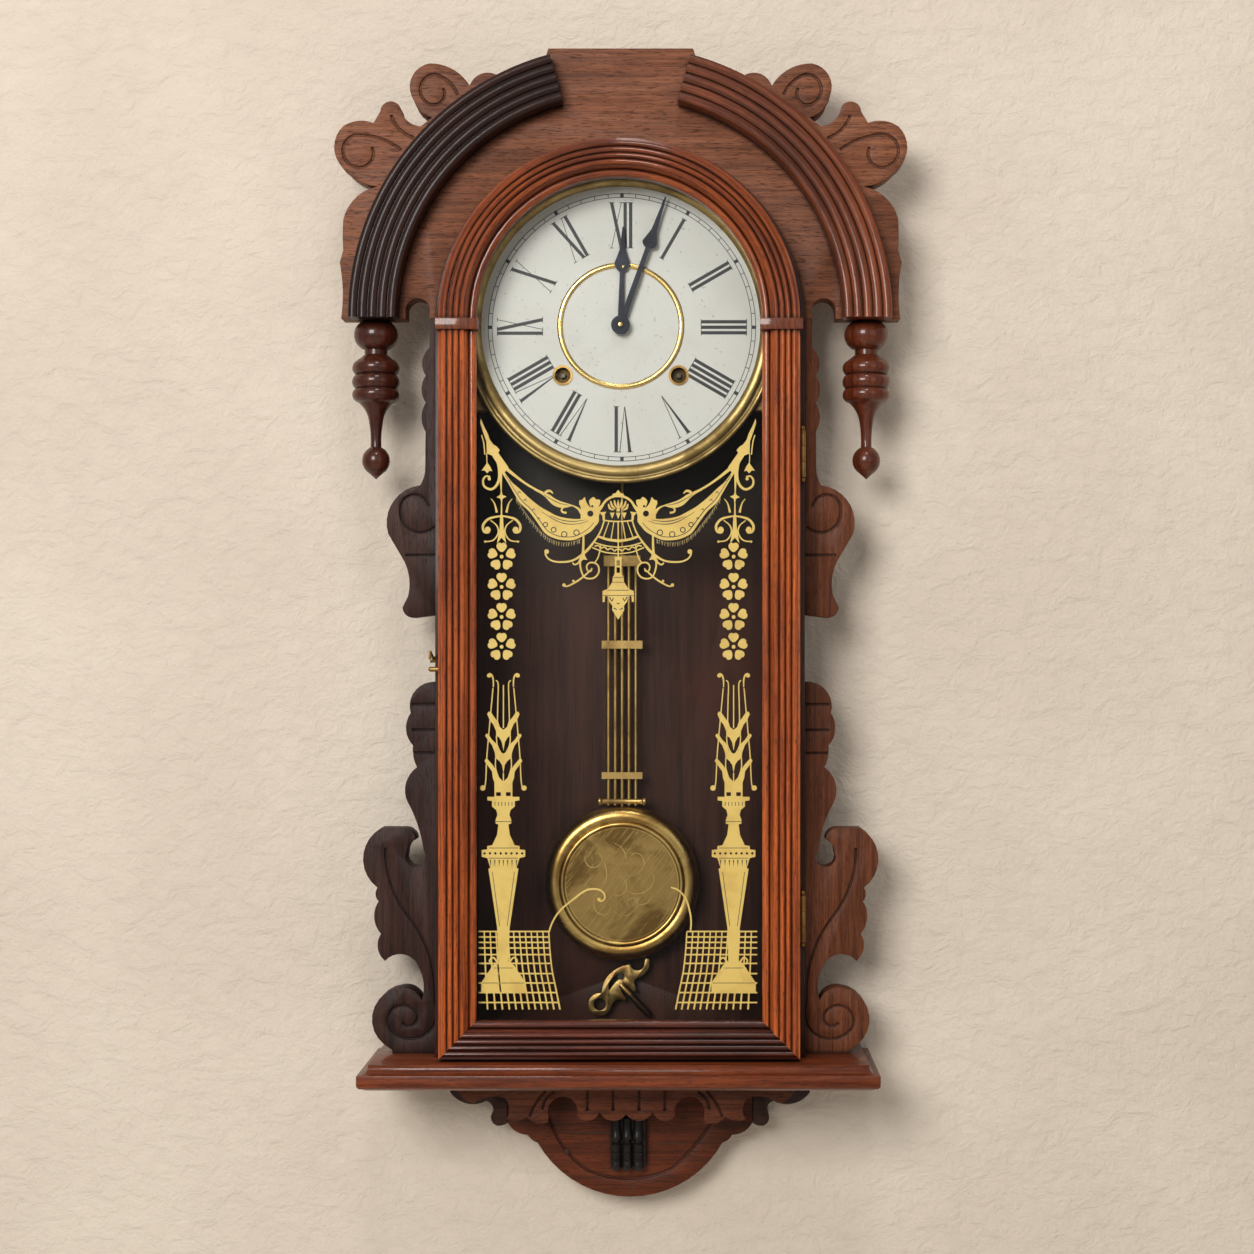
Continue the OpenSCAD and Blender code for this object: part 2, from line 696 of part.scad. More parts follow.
module latch_hook() {
    reach = door_back + door_t / 2 + peg_r + pass + latch_wire_r - latch_y;
    fall = latch_z - peg_z - peg_r - latch_wire_r - pass;
    slope = atan2(fall, reach);
    color([0.75, 0.62, 0.35]) at_dial() translate([-latch_plane, -latch_y, latch_z])
        rotate([-latch_lift, 0, 0]) difference() {
            union() {
                rotate([0, 90, 0]) translate([0, 0, -1]) cylinder(r = 2.3, h = 2);
                rotate([90 + slope, 0, 0]) cylinder(r = latch_wire_r, h = reach / cos(slope));
                translate([0, -reach, -fall - 6]) cylinder(r = latch_wire_r, h = 6 + 0.4);
            }
            rotate([0, 90, 0]) translate([0, 0, -3]) cylinder(r = 1.2 + run, h = 6);
        }
}

// Dial
center_ring_r = 44.8;
grommet_r = 7.4;
grommet_wall = 0.6;
module dial_blocks() {
    inside = case_half - case_wall;
    block_in = bezel_r - 17;
    block_h = 14;
    block_z = bezel_r * 0.413;
    color([0.5, 0.35, 0.22]) at_dial() for (side = [0, 1]) mirror([side, 0, 0]) {
        translate([block_in, -dial_front + 1, -block_z - block_h])
            cube([inside - block_in, 16, block_h]);
        intersection() {
            translate([block_in, -dial_front + 1, block_z]) cube([inside - block_in, 16, block_h]);
            shaft(inside, dial_front, 0);
        }
    }
}
module dial_plate() {
    color([0.88, 0.88, 0.86]) at_dial() difference() {
        shaft(bezel_r - 0.4, dial_front, dial_front - 1);
        shaft(4.5, dial_front + past, dial_front - 1 - past);
        for (x = [-1, 1] * wind_x)
            shaft(wind_hole_r + grommet_wall, dial_front + past, dial_front - 1 - past, x, -wind_drop);
    }
}
module dial_bezel() {
    rim = outline([dial_r, 0], [
        [[dial_r, 1.2]], [[dial_r + 4, 4.2], [dial_r + 8, 3.2]], [[dial_r + 8, 1.8]],
        [[dial_r + 9.6, 1.8]], [[dial_r + 11.4, 4], [bezel_r, 1.6]], [[bezel_r, 0]]]);
    color([0.78, 0.66, 0.36]) at_dial() turned(rim, dial_front);
}
module dial_center_ring() {
    rim = outline([center_ring_r - 2, 0], [
        [[center_ring_r - 2, 0.5]], [[center_ring_r, 1.2], [center_ring_r + 2, 0.5]],
        [[center_ring_r + 2, 0]]]);
    color([0.78, 0.66, 0.36]) at_dial() turned(rim, dial_front);
}
module winding_grommets() {
    color([0.78, 0.66, 0.36]) at_dial() for (x = [-1, 1] * wind_x)
        translate([x, 0, -wind_drop]) difference() {
            union() {
                shaft(wind_hole_r + grommet_wall, dial_front + 0.2, dial_front - 1.4);
                shaft(grommet_r, dial_front + 0.8, dial_front);
            }
            shaft(wind_hole_r, dial_front + 2, dial_front - 3);
        }
}

// Movement plates and what holds them
plate_half = 52;
plate_top = 53;
plate_foot = 73;
pillar_x = 46;
pillar_top = 47;
pillar_foot = 66;
center_r = 1.5;
arbor_r = 1.2;
anchor_z = 42;
escape_z = 25;
winding_r = 2.5;
module plate_shape(front, back) {
    translate([-plate_half, -front, -plate_foot])
        cube([2 * plate_half, front - back, plate_foot + plate_top]);
}
module corner_posts(r, front, back) {
    for (x = [-1, 1] * pillar_x) for (z = [-pillar_foot, pillar_top])
        shaft(r, front, back, x, z);
}
// Holes in the plates: [radius, x, z]
function pivots() = [[arbor_r + run, 0, anchor_z], [arbor_r + run, 0, escape_z],
          [arbor_r + run, third_x, third_z], [arbor_r + run, hammer_x, hammer_z],
          [winding_r + run, wind_x, -wind_drop], [winding_r + run, -wind_x, -wind_drop],
          [center_r + run, 0, 0]];
// Windows that lighten the plates
module plate_windows(front, back) {
    for (x = [-30, 30]) shaft(9, front, back, x, 26);
    shaft(13, front, back, 0, -46);
}
module plate(front, back) {
    difference() {
        plate_shape(front, back);
        for (p = pivots()) shaft(p[0], front + past, back - past, p[1], p[2]);
        plate_windows(front + past, back - past);
    }
}
module back_plate() {
    color([0.8, 0.67, 0.35]) at_dial() plate(plate_back + plate_t, plate_back);
}
module front_plate() {
    color([0.8, 0.67, 0.35]) at_dial() {
        plate(plate_out, front_plate_back);
        shaft(1.2, plate_out + 4.4, plate_out, stud_x, stud_z);
    }
}
module plate_pillars() {
    color([0.72, 0.6, 0.32]) at_dial() for (x = [-1, 1] * pillar_x) for (z = [-pillar_foot, pillar_top])
        translate([x, -plate_back - plate_t, z]) rotate([90, 0, 0]) rotate_extrude()
            polygon(outline([0, 0], [
                [[3.4, 0]], [[3.4, 2]], [[2.4, 4]], [[2.4, movement_t - 2 * plate_t - 4]],
                [[3.4, movement_t - 2 * plate_t - 2]], [[3.4, movement_t - 2 * plate_t]],
                [[0, movement_t - 2 * plate_t]]]));
}
module movement_feet() {
    color([0.35, 0.34, 0.33]) at_dial() {
        corner_posts(4, plate_back, back_t);
        corner_posts(7, back_t + 2.5, back_t);
    }
}
module suspension_cock() {
    color([0.8, 0.67, 0.35]) at_dial() {
        translate([-8, -plate_back, anchor_z + 3.2]) cube([16, 1.5, 9]);
        translate([-4, -plate_back, anchor_z + 3.2]) cube([8, plate_back - pendulum_y + 3, 6]);
    }
}
spring_tail = 0.8;
module mainsprings() {
    color([0.45, 0.47, 0.5]) at_dial() for (x = [-1, 1] * wind_x)
        translate([x, 0, -wind_drop]) difference() {
            shaft(spring_r, plate_out - 3, plate_back + 7);
            shaft(6.3, plate_out, plate_back);
            for (r = [9:3:spring_r - 2]) difference() {
                shaft(r + 0.6, plate_out, plate_out - 4.5);
                shaft(r, plate_out + past, plate_out - 6);
            }
        }
    color([0.45, 0.47, 0.5]) at_dial() for (side = [0, 1]) mirror([side, 0, 0])
        translate([pillar_x - 2.4 - spring_tail, -plate_out + 6, -pillar_foot - 1])
            cube([spring_tail, 8, pillar_foot + 1.5 - wind_drop - spring_r + 1]);
}

// Winding arbors: a pivot at each end, a square for the key, the ratchet wheel
square_side = 3;
module winding_arbor(x) {
    color([0.62, 0.64, 0.66]) at_dial() translate([x, 0, -wind_drop]) {
        shaft(winding_r, plate_out + 0.6, plate_back - 1);
        shaft(6, plate_out - 3.4, plate_back + 6.6);
        translate([-square_side / 2, -dial_front + 2.2, -square_side / 2])
            cube([square_side, dial_front - plate_out - 2, square_side]);
        translate([0, -plate_back - 4.4, 0]) rotate([90, 0, 0])
            linear_extrude(1.6) polygon([for (k = [0:23]) for (j = [0, 1])
                (j == 0 ? 12 : 10.4) * [cos(15 * k + 2 * j), sin(15 * k + 2 * j)]]);
    }
}

// Gong: one wire wound in a flat spiral, with its block
gong_z = -64;
gong_y = 14;
gong_in = 13;
gong_rings = 24;
gong_pitch = (gong_r - gong_in) / gong_turns;
function gong_at(i) =
    let (t = i / gong_rings, r = gong_in + gong_pitch * t, a = 360 * t)
    [r * cos(a), -gong_y, r * sin(a)];
gong_count = gong_turns * gong_rings;
gong_points = [for (i = [0:gong_count]) for (j = [0:5])
    let (c = gong_at(i), a = 360 * i / gong_rings, w = gong_wire_r)
    c + w * [cos(60 * j) * cos(a), sin(60 * j), cos(60 * j) * sin(a)]];
gong_faces = concat(
    [for (i = [0:gong_count - 1]) for (j = [0:5])
        let (a = 6 * i + j, b = 6 * i + (j + 1) % 6) [a, b, b + 6]],
    [for (i = [0:gong_count - 1]) for (j = [0:5])
        let (a = 6 * i + j, b = 6 * i + (j + 1) % 6) [a, b + 6, a + 6]],
    [for (j = [1:4]) [0, j + 1, j]],
    [for (j = [1:4]) let (e = 6 * gong_count) [e, e + j, e + j + 1]]);
gong_gap = min([for (i = [0:gong_count - gong_rings])
    norm(gong_at(i + gong_rings) - gong_at(i)) - 2 * gong_wire_r]);
echo(gong_least_gap = gong_gap);
module gong_coil() {
    color([0.3, 0.33, 0.4]) at_dial() translate([0, 0, gong_z])
        polyhedron(points = gong_points, faces = gong_faces, convexity = 8);
}
module gong_block() {
    color([0.2, 0.2, 0.2]) at_dial() translate([0, 0, gong_z]) {
        shaft(gong_in - gong_wire_r - 4, gong_y + 3, back_t);
        translate([0, -gong_y - gong_wire_r - 1, -7]) cube([gong_in + 3, 2 * gong_wire_r + 2, 7]);
    }
}

// Gear teeth on an involute, thinned for backlash and shortened at the tip
function inv(a) = tan(a) * 180 / PI - a;
function flank_angle(r, rb) = r <= rb ? 0 : inv(acos(rb / r));
function gear_points(teeth, m, slack) =
    let (rp = m * teeth / 2, rb = rp * cos(20), rt = rp + 0.85 * m, rr = rp - 1.15 * m,
         half = 90 / teeth - slack / rp * 90 / PI + inv(20))
    [for (k = [0:teeth - 1])
        for (p = concat(
            [for (r = concat([rr], rb > rr ? [rb] : [], [rp, rt])) [r, flank_angle(r, rb) - half]],
            [for (r = concat([rt, rp], rb > rr ? [rb] : [], [rr])) [r, half - flank_angle(r, rb)]]))
        let (a = p[1] + 360 * k / teeth) p[0] * [cos(a), sin(a)]];
module gear(teeth, m, slack, front, back, turn = 0) {
    translate([0, -back, 0]) rotate([90, 0, 0]) rotate([0, 0, turn])
        linear_extrude(front - back) polygon(gear_points(teeth, m, slack));
}
// The turn of a gear that meshes with one at the given direction whose tooth points along turn
function mesh_turn(n_drive, n_driven, drive_turn, dir) =
    dir + 180 - 180 / n_driven + (dir - drive_turn) * n_drive / n_driven;

slack_big = 0.16;
// Going train: centre wheel to third pinion, third wheel to escape pinion
center_n = 72;
third_pinion_n = 8;
train_m = 0.6;
third_n = 64;
escape_pinion_n = 8;
fine_m = 0.5;
center_gap = train_m * (center_n + third_pinion_n) / 2;
third_gap = fine_m * (third_n + escape_pinion_n) / 2;
third_z = (center_gap * center_gap - third_gap * third_gap + escape_z * escape_z) / (2 * escape_z);
third_x = sqrt(center_gap * center_gap - third_z * third_z);
third_dir = atan2(third_z, third_x);
escape_dir = atan2(escape_z - third_z, -third_x);
third_turn = mesh_turn(center_n, third_pinion_n, 0, third_dir);
escape_turn = mesh_turn(third_n, escape_pinion_n, third_turn, escape_dir);
module center_wheel() {
    color([0.8, 0.67, 0.35]) at_dial() difference() {
        union() {
            shaft(center_r, dial_front + 9, plate_back);
            gear(center_n, train_m, slack_big, plate_back + 5.4, plate_back + 4.2);
            shaft(4, plate_back + 8, plate_back + 3.4);
        }
        for (a = [0:90:270]) shaft(6, plate_back + 6, plate_back + 3, 12.5 * cos(a + 45), 12.5 * sin(a + 45));
    }
}
module third_wheel() {
    color([0.8, 0.67, 0.35]) at_dial() translate([third_x, 0, third_z]) difference() {
        union() {
            shaft(arbor_r, plate_out - 0.2, plate_back + 0.2);
            gear(third_pinion_n, train_m, slack_big, plate_back + 7.6, plate_back + 2.6, third_turn);
            gear(third_n, fine_m, slack_big, plate_out - 9, plate_out - 10.2, third_turn);
        }
        for (a = [0:90:270]) shaft(4.5, plate_out - 8, plate_out - 11, 9 * cos(a), 9 * sin(a));
    }
}
escape_r = 12;
module escape_wheel() {
    color([0.8, 0.67, 0.35]) at_dial() translate([0, 0, escape_z]) {
        shaft(arbor_r, plate_out - 0.2, plate_back + 0.2);
        gear(escape_pinion_n, fine_m, slack_big, plate_out - 7.6, plate_out - 11.4, escape_turn);
        shaft(2.4, plate_out - 4, plate_out - 7);
        difference() {
            translate([0, -plate_out + 6.4, 0]) rotate([90, 0, 0]) linear_extrude(1.2)
                polygon([for (k = [0:escape_teeth - 1]) for (j = [0:2])
                    let (r = j == 0 ? escape_r : escape_r - 1.5, a = 360 * (k + 0.34 * j) / escape_teeth)
                    r * [cos(a), sin(a)]]);
            for (a = [0:90:270]) shaft(3, plate_out - 4, plate_out - 8, 6 * cos(a), 6 * sin(a));
        }
    }
}

// Pallet anchor with its arbor, and the crutch that the pendulum swings
anchor_in = escape_r + 1.2;
crutch_back = plate_back - 1.4;
module pallet_anchor() {
    color([0.55, 0.56, 0.58]) at_dial() {
        shaft(arbor_r, plate_out - 0.2, crutch_back - 1.6, 0, anchor_z);
        difference() {
            union() {
                shaft(anchor_in + 3, plate_out - 5.2, plate_out - 6.4, 0, escape_z);
                shaft(3, plate_out - 4.6, plate_out - 7.6, 0, anchor_z);
            }
            shaft(anchor_in, plate_out, plate_out - 9, 0, escape_z);
            translate([-30, -plate_out, escape_z - 40]) cube([60, 12, 40 + anchor_in * 0.7]);
        }
        translate([-1.2, -crutch_back, 0]) cube([2.4, 1.2, anchor_z + 2.4]);
        translate([-3.6, -crutch_back, 0]) cube([7.2, 1.2, 3]);
        for (x = [-1, 1] * (pin_r + pass + 0.8))
            shaft(0.8, crutch_back, pendulum_y - 2.5, x, 1.5);
    }
}

// Motion work between the front plate and the dial
cannon_n = 12;
minute_n = 36;
minute_pinion_n = 10;
hour_n = 40;
motion_gap = 18;
motion_m = 2 * motion_gap / (cannon_n + minute_n);
hour_m = 2 * motion_gap / (minute_pinion_n + hour_n);
stud_dir = 135;
stud_x = motion_gap * cos(stud_dir);
stud_z = motion_gap * sin(stud_dir);
minute_turn = mesh_turn(cannon_n, minute_n, 0, stud_dir);
hour_turn = mesh_turn(minute_pinion_n, hour_n, 0, stud_dir + 180);
motion_back = plate_out + 0.5;
pipe_r = 2.6;
hour_pipe_r = 3.7;
minute_at = dial_front + 5.2;
hour_at = dial_front + 2.4;
module minute_wheel() {
    color([0.8, 0.67, 0.35]) at_dial() translate([stud_x, 0, stud_z]) difference() {
        union() {
            gear(minute_n, motion_m, slack_big, motion_back + 1, motion_back, minute_turn);
            gear(minute_pinion_n, hour_m, slack_big, motion_back + 3.4, motion_back, 0);
        }
        shaft(1.2 + run, motion_back + 5, motion_back - 2);
    }
}

// Hands: a shaft that swells into a spade, round at its foot and drawn out to the tip
minute_angle = -19.5;
hour_angle = -1.6;
function spade(len, foot, mid, half) = outline([2.3, 0], [
    [[1.7, foot]], [[half * 0.85, (foot + mid) / 2 - 0.4], [half, mid]],
    [[half * 0.7, mid + half * 0.82], [half * 0.38, mid + half * 1.8]], [[0.6, len]]]);
module hand(len, foot, mid, half, front, back, turn) {
    edge = spade(len, foot, mid, half);
    rotate([0, -turn, 0]) board(whole(edge), front, back);
}
module minute_hand() {
    color([0.1, 0.1, 0.13]) at_dial() difference() {
        union() {
            shaft(pipe_r, minute_at + 0.6, motion_back);
            gear(cannon_n, motion_m, slack_big, motion_back + 1, motion_back);
            hand(minute_len, 60.3, 64.6, 5.4, minute_at + 0.8, minute_at, minute_angle);
            shaft(6.9, minute_at + 2, minute_at);
        }
        shaft(center_r + run, minute_at + 5, motion_back - past);
    }
}
module hour_hand() {
    color([0.1, 0.1, 0.13]) at_dial() difference() {
        union() {
            shaft(hour_pipe_r, hour_at + 0.8, motion_back + 2.2);
            gear(hour_n, hour_m, slack_big, motion_back + 3.2, motion_back + 2.2, hour_turn);
            hand(hour_len, 39.5, 46.4, 5.7, hour_at + 0.8, hour_at, hour_angle);
            shaft(6.6, hour_at + 1.2, hour_at);
        }
        shaft(pipe_r + run, hour_at + 5, motion_back - past);
    }
}

// Strike hammer: its arbor, a bent wire and a head beside the gong
hammer_x = -24;
hammer_z = -8;
head_r = 3.6;
head_len = 9;
head_dir = 135;
head_ring = gong_in + gong_pitch * (gong_turns - 1 + head_dir / 360);
head_at = head_ring + gong_wire_r + pass + head_len / 2;
head_x = head_at * cos(head_dir);
head_z = gong_z + head_at * sin(head_dir);
hammer_wire_r = 1.1;
hammer_wire_y = plate_back - 3;
module strike_hammer() {
    dx = head_x - hammer_x;
    dz = head_z - hammer_z;
    color([0.5, 0.51, 0.53]) at_dial() {
        shaft(arbor_r, plate_out - 0.2, hammer_wire_y - 1.4, hammer_x, hammer_z);
        translate([hammer_x, -hammer_wire_y, hammer_z]) rotate([0, atan2(dx, dz), 0])
            cylinder(r = hammer_wire_r, h = norm([dx, dz]));
        shaft(hammer_wire_r, hammer_wire_y, gong_y, head_x, head_z);
        translate([head_x, -hammer_wire_y, head_z]) sphere(r = hammer_wire_r + 0.3);
        translate([head_x, -gong_y, head_z]) rotate([0, 90 - head_dir, 0])
            translate([0, 0, -head_len / 2]) cylinder(r = head_r, h = head_len);
    }
}

// Pendulum
pin_r = 1.2;
grid_top = 168;
grid_foot = bob_drop - bob_r - 1;
hook_bar = grid_foot - 3;
bob_t = 13;
bob_wall = 2.4;
bob_front = pendulum_y + 8;
bob_back = bob_front - bob_t;
bead_r = bob_r - 14.5;
cavity_r = bob_r - 11;
nut_drop = bob_drop + 6;
module grid_bar(half, z0, z1, t) {
    translate([-half, -pendulum_y - t / 2, z0]) cube([2 * half, t, z1 - z0]);
}
module pendulum_rods() {
    color([0.78, 0.68, 0.42]) at_dial() {
        translate([-2.5, -pendulum_y - 0.2, anchor_z - 12]) cube([5, 0.4, 14.7]);
        translate([0, -pendulum_y, -grid_top]) cylinder(r = pin_r, h = grid_top + anchor_z - 10);
        for (k = [0:rods - 1]) translate([(k - (rods - 1) / 2) * rod_pitch, -pendulum_y, -grid_foot])
            cylinder(r = rod_r, h = grid_foot - grid_top);
        half = rod_pitch * (rods - 1) / 2;
        grid_bar(half + 3.4, -grid_top - 8, -grid_top, 5);
        grid_bar(half + 5, -grid_top - 70, -grid_top - 64, 5);
        grid_bar(half + 5, -grid_foot + 20, -grid_foot + 25, 5);
        translate([-half - 8, -pendulum_y, -hook_bar]) rotate([0, 90, 0]) rotate_extrude()
            polygon(outline([0, 0], [
                [[2.6, 0]], [[3.2, 1.5], [2.6, 3]], [[2.2, 4]], [[2.2, 2 * half + 12]],
                [[2.6, 2 * half + 13]], [[3.2, 2 * half + 14.5], [2.6, 2 * half + 16]],
                [[0, 2 * half + 16]]]));
        translate([0, -pendulum_y, -nut_drop - 12]) cylinder(r = pin_r, h = nut_drop + 15 - hook_bar);
    }
}
bob_edge = outline([0, bob_t], [
    [[bead_r, bob_t]], [[bead_r + 1.8, bob_t + 1.4], [bead_r + 3.6, bob_t]],
    [[bead_r + 4.4, bob_t - 0.8]], [[bob_r - 3, bob_t - 1.7], [bob_r, bob_t / 2]], [[bob_r - 1, 1], [bob_r - 4, 0]], [[cavity_r, 0]],
    [[cavity_r, bob_t - bob_wall]], [[0, bob_t - bob_wall]]
]);
module pendulum_bob() {
    color([0.72, 0.6, 0.32]) at_dial() translate([0, 0, -bob_drop]) difference() {
        union() {
            translate([0, -bob_back, 0]) rotate([90, 0, 0]) rotate_extrude($fn = 96) polygon(bob_edge);
            translate([-6, -bob_front + bob_wall / 2, -5]) cube([12, bob_t - bob_wall, 10]);
        }
        translate([0, -pendulum_y, -nut_drop + bob_drop - 13]) cylinder(r = pin_r, h = bob_r + 40);
    }
}
nut_r = 5;
nut_h = 4;
module rating_nut() {
    color([0.78, 0.68, 0.42]) at_dial() translate([0, -pendulum_y, -bob_drop - 5 - pass - nut_h])
        difference() {
            cylinder(r = nut_r, h = nut_h);
            translate([0, 0, -past]) cylinder(r = pin_r + run, h = nut_h + 2 * past);
            for (a = [0:20:340]) rotate([0, 0, a]) translate([nut_r, 0, -past])
                cylinder(r = 0.4, h = nut_h + 2 * past, $fn = 16);
        }
}

// Winding key on its nail
nail_x = -1.4;
nail_z = -485.5;
nail_r = 1;
key_y = 15;
key_t = 3;
key_turn = 43;
module key_nail_shank() {
    at_dial() shaft(nail_r, back_t + 1, 3, nail_x, nail_z);
}
module key_nail() {
    color([0.5, 0.48, 0.45]) at_dial() {
        shaft(nail_r, key_y + 3.4, 3, nail_x, nail_z);
        shaft(2.3, key_y + 4.6, key_y + 3.2, nail_x, nail_z);
    }
}
// The handle is drawn along x from the ring to the hook, with the pipe pointing to -z
key_ring = [-21.7, 4.8];
key_edge = outline([-19, 10], [
    [[-14.2, 10.4]], [[-7.5, 14.9], [3.5, 16.1]], [[11, 14], [15.6, 11.2]],
    [[14.7, 7.6], [16.4, 4.4]], [[19.4, 2.5], [22.9, 3.3]], [[27.3, 6.5]], [[28.9, 4.4]],
    [[26.2, 1.1], [20.8, -1.1]], [[16.5, -1], [11.7, 0.3]], [[8.6, -0.6], [7.4, -3]],
    [[5.2, -7.4]], [[3.7, -6.5]], [[3.4, 0]], [[2.4, 2.4], [0, 3.4]],
    [[-2.4, 2.4], [-3.4, 0]], [[-4.3, -5.8]], [[-6, -6.5]], [[-9, -2], [-13.6, -1.1]], [[-19, -3]]
]);
key_slot = outline([-9.5, 7.4], [
    [[-6.8, 11.2], [-1.1, 12.6]], [[2.5, 12.6], [5.4, 11.3]], [[7, 9.4], [6.2, 7.9]],
    [[-0.5, 8.7], [-5.5, 8.2]]
]);
slot_x = 4.6;
slot_z = 9.9;
pipe_end = -26.4;
socket_side = square_side + 0.2;
module winding_key() {
    key_r = socket_side * 0.82;
    color([0.6, 0.5, 0.3]) at_dial() translate([nail_x, -key_y, nail_z])
        rotate([0, -key_turn, 0]) translate([-slot_x, 0, -slot_z]) difference() {
            union() {
                board(key_edge, key_t / 2, -key_t / 2);
                shaft(8.5, key_t / 2, -key_t / 2, key_ring.x, key_ring.y);
                translate([0, 0, pipe_end]) cylinder(r = key_r, h = 5 - pipe_end);
            }
            shaft(4.7, key_t, -key_t, key_ring.x, key_ring.y);
            board(key_slot, key_t, -key_t);
            translate([-socket_side / 2, -socket_side / 2, pipe_end - past])
                cube([socket_side, socket_side, 15]);
        }
}

backboard();
case_side(false);  // case_side_left
case_side(true);  // case_side_right
case_top_arch();
base_shelf();
hood_board();
hood_moulding_left();
hood_moulding_right();
upper_wing_left();
upper_wing_right();
lower_wing_left();
lower_wing_right();
pendant_left();
pendant_right();
bracket_board();
bracket_ears();
bracket_apron();
bracket_corbel();
wall_hanger();
hanger_screws();
dial_blocks();
dial_plate();
dial_bezel();
dial_center_ring();
winding_grommets();
movement_feet();
back_plate();
front_plate();
plate_pillars();
suspension_cock();
mainsprings();
gong_block();
gong_coil();
hinge_leaves_case();
latch_screw();
key_nail();
door_stile_left();
door_stile_right();
door_arch();
door_bottom_rail();
door_collars();
door_glass();
glass_beads();
hinge_leaves_door();
latch_peg();
latch_hook();
pendulum_rods();
pendulum_bob();
rating_nut();
pallet_anchor();
escape_wheel();
third_wheel();
center_wheel();
minute_hand();
hour_hand();
minute_wheel();
winding_arbor(wind_x);  // winding_arbor_time
winding_arbor(-wind_x);  // winding_arbor_strike
strike_hammer();
winding_key();
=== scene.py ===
"""Looks of an antique hanging clock with a glazed door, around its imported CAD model."""

import json
import math

import bpy
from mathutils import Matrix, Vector


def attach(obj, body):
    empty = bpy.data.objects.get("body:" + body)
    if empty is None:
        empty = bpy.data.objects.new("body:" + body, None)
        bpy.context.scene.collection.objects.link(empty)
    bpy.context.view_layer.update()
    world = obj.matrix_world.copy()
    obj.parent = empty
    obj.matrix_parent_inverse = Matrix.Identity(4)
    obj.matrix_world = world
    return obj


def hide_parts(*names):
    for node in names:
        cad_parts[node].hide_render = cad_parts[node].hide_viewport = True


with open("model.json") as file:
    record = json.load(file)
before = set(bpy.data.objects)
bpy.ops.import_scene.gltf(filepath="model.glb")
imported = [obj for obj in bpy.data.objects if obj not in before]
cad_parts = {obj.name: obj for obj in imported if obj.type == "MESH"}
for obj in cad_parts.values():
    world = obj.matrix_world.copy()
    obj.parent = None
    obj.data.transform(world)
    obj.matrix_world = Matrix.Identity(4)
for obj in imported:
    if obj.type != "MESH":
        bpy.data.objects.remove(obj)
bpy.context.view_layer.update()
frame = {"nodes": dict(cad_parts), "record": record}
scene = bpy.context.scene

# Millimetres in the script's lists, metres in the scene
MM = 0.001
# The dial's centre from the hanger's hole, and the bob's centre under the dial's
DIAL_Z = -118
BOB_DROP = 414.5
# Planes in front of the wall
DOOR_FRONT = 102.3
GLASS_BACK = 86.3
DIAL_FACE = 60
BOB_FACE = 32
BRACKET_FACE = 26

# The photograph's frame in pixels: its size, the foot of the lens axis, the column of the door's
# middle and the row of the dial's centre
FRAME_PX = 1254
AXIS_PX = (690, 650)
DOOR_PX = 619
DIAL_PX = 318
# Millimetres in a pixel at the door's front, and from there to the eye
PX_MM = 0.72
EYE = 1700
SENSOR = 36


def spot(x, y, plane):
    """Millimetres right of the middle and up from the hanger, for a pixel on a plane."""
    k = EYE / (EYE + DOOR_FRONT - plane)
    true_x = AXIS_PX[0] - (AXIS_PX[0] - x) / k
    true_y = AXIS_PX[1] - (AXIS_PX[1] - y) / k
    return (true_x - DOOR_PX) * PX_MM, (DIAL_PX - true_y) * PX_MM + DIAL_Z


def tone(*levels):
    """A colour from its sRGB bytes."""
    shares = [byte / 255 for byte in levels]
    return (*(c / 12.92 if c <= 0.04045 else ((c + 0.055) / 1.055) ** 2.4 for c in shares), 1)


def select(*pieces):
    """Makes the pieces what operators act on, the first one as the active one."""
    bpy.ops.object.select_all(action="DESELECT")
    for piece in pieces:
        piece.select_set(True)
    bpy.context.view_layer.objects.active = pieces[0]


# Camera, lights and stage

def add_camera():
    data = bpy.data.cameras.new("camera")
    data.sensor_width = SENSOR
    data.lens = SENSOR * EYE / (PX_MM * FRAME_PX)
    data.shift_x = (FRAME_PX / 2 - AXIS_PX[0]) / FRAME_PX
    data.shift_y = (AXIS_PX[1] - FRAME_PX / 2) / FRAME_PX
    data.clip_start, data.clip_end = 0.05, 30
    camera = bpy.data.objects.new("camera", data)
    camera.location = (
        (AXIS_PX[0] - DOOR_PX) * PX_MM * MM,
        -(DOOR_FRONT + EYE) * MM,
        ((DIAL_PX - AXIS_PX[1]) * PX_MM + DIAL_Z) * MM,
    )
    camera.rotation_euler = (math.pi / 2, 0, 0)
    scene.collection.objects.link(camera)
    scene.camera = camera


def add_lamp(name, place, target, size, power, colour):
    data = bpy.data.lights.new(name, "AREA")
    data.shape = "SQUARE"
    data.size = size
    data.energy = power
    data.color = colour
    lamp = bpy.data.objects.new(name, data)
    lamp.location = place
    aim = Vector(target) - Vector(place)
    lamp.rotation_euler = aim.to_track_quat("-Z", "Y").to_euler()
    scene.collection.objects.link(lamp)


# Materials

class Value:
    """A socket of a material that does sums as a number does."""

    def __init__(self, finish, socket):
        self.finish, self.socket = finish, socket

    def __add__(self, other):
        return self.finish.maths("ADD", self, other)

    __radd__ = __add__

    def __sub__(self, other):
        return self.finish.maths("SUBTRACT", self, other)

    def __rsub__(self, other):
        return self.finish.maths("SUBTRACT", other, self)

    def __mul__(self, other):
        return self.finish.maths("MULTIPLY", self, other)


AIR_SAMPLES = 6
# Height of the middle and mean radius, in metres, of the wood that is bent round the dial
ARCS = {"hood_arc": ((DIAL_Z + 4.5) * MM, 0.18), "dial_arc": (DIAL_Z * MM, 0.12)}


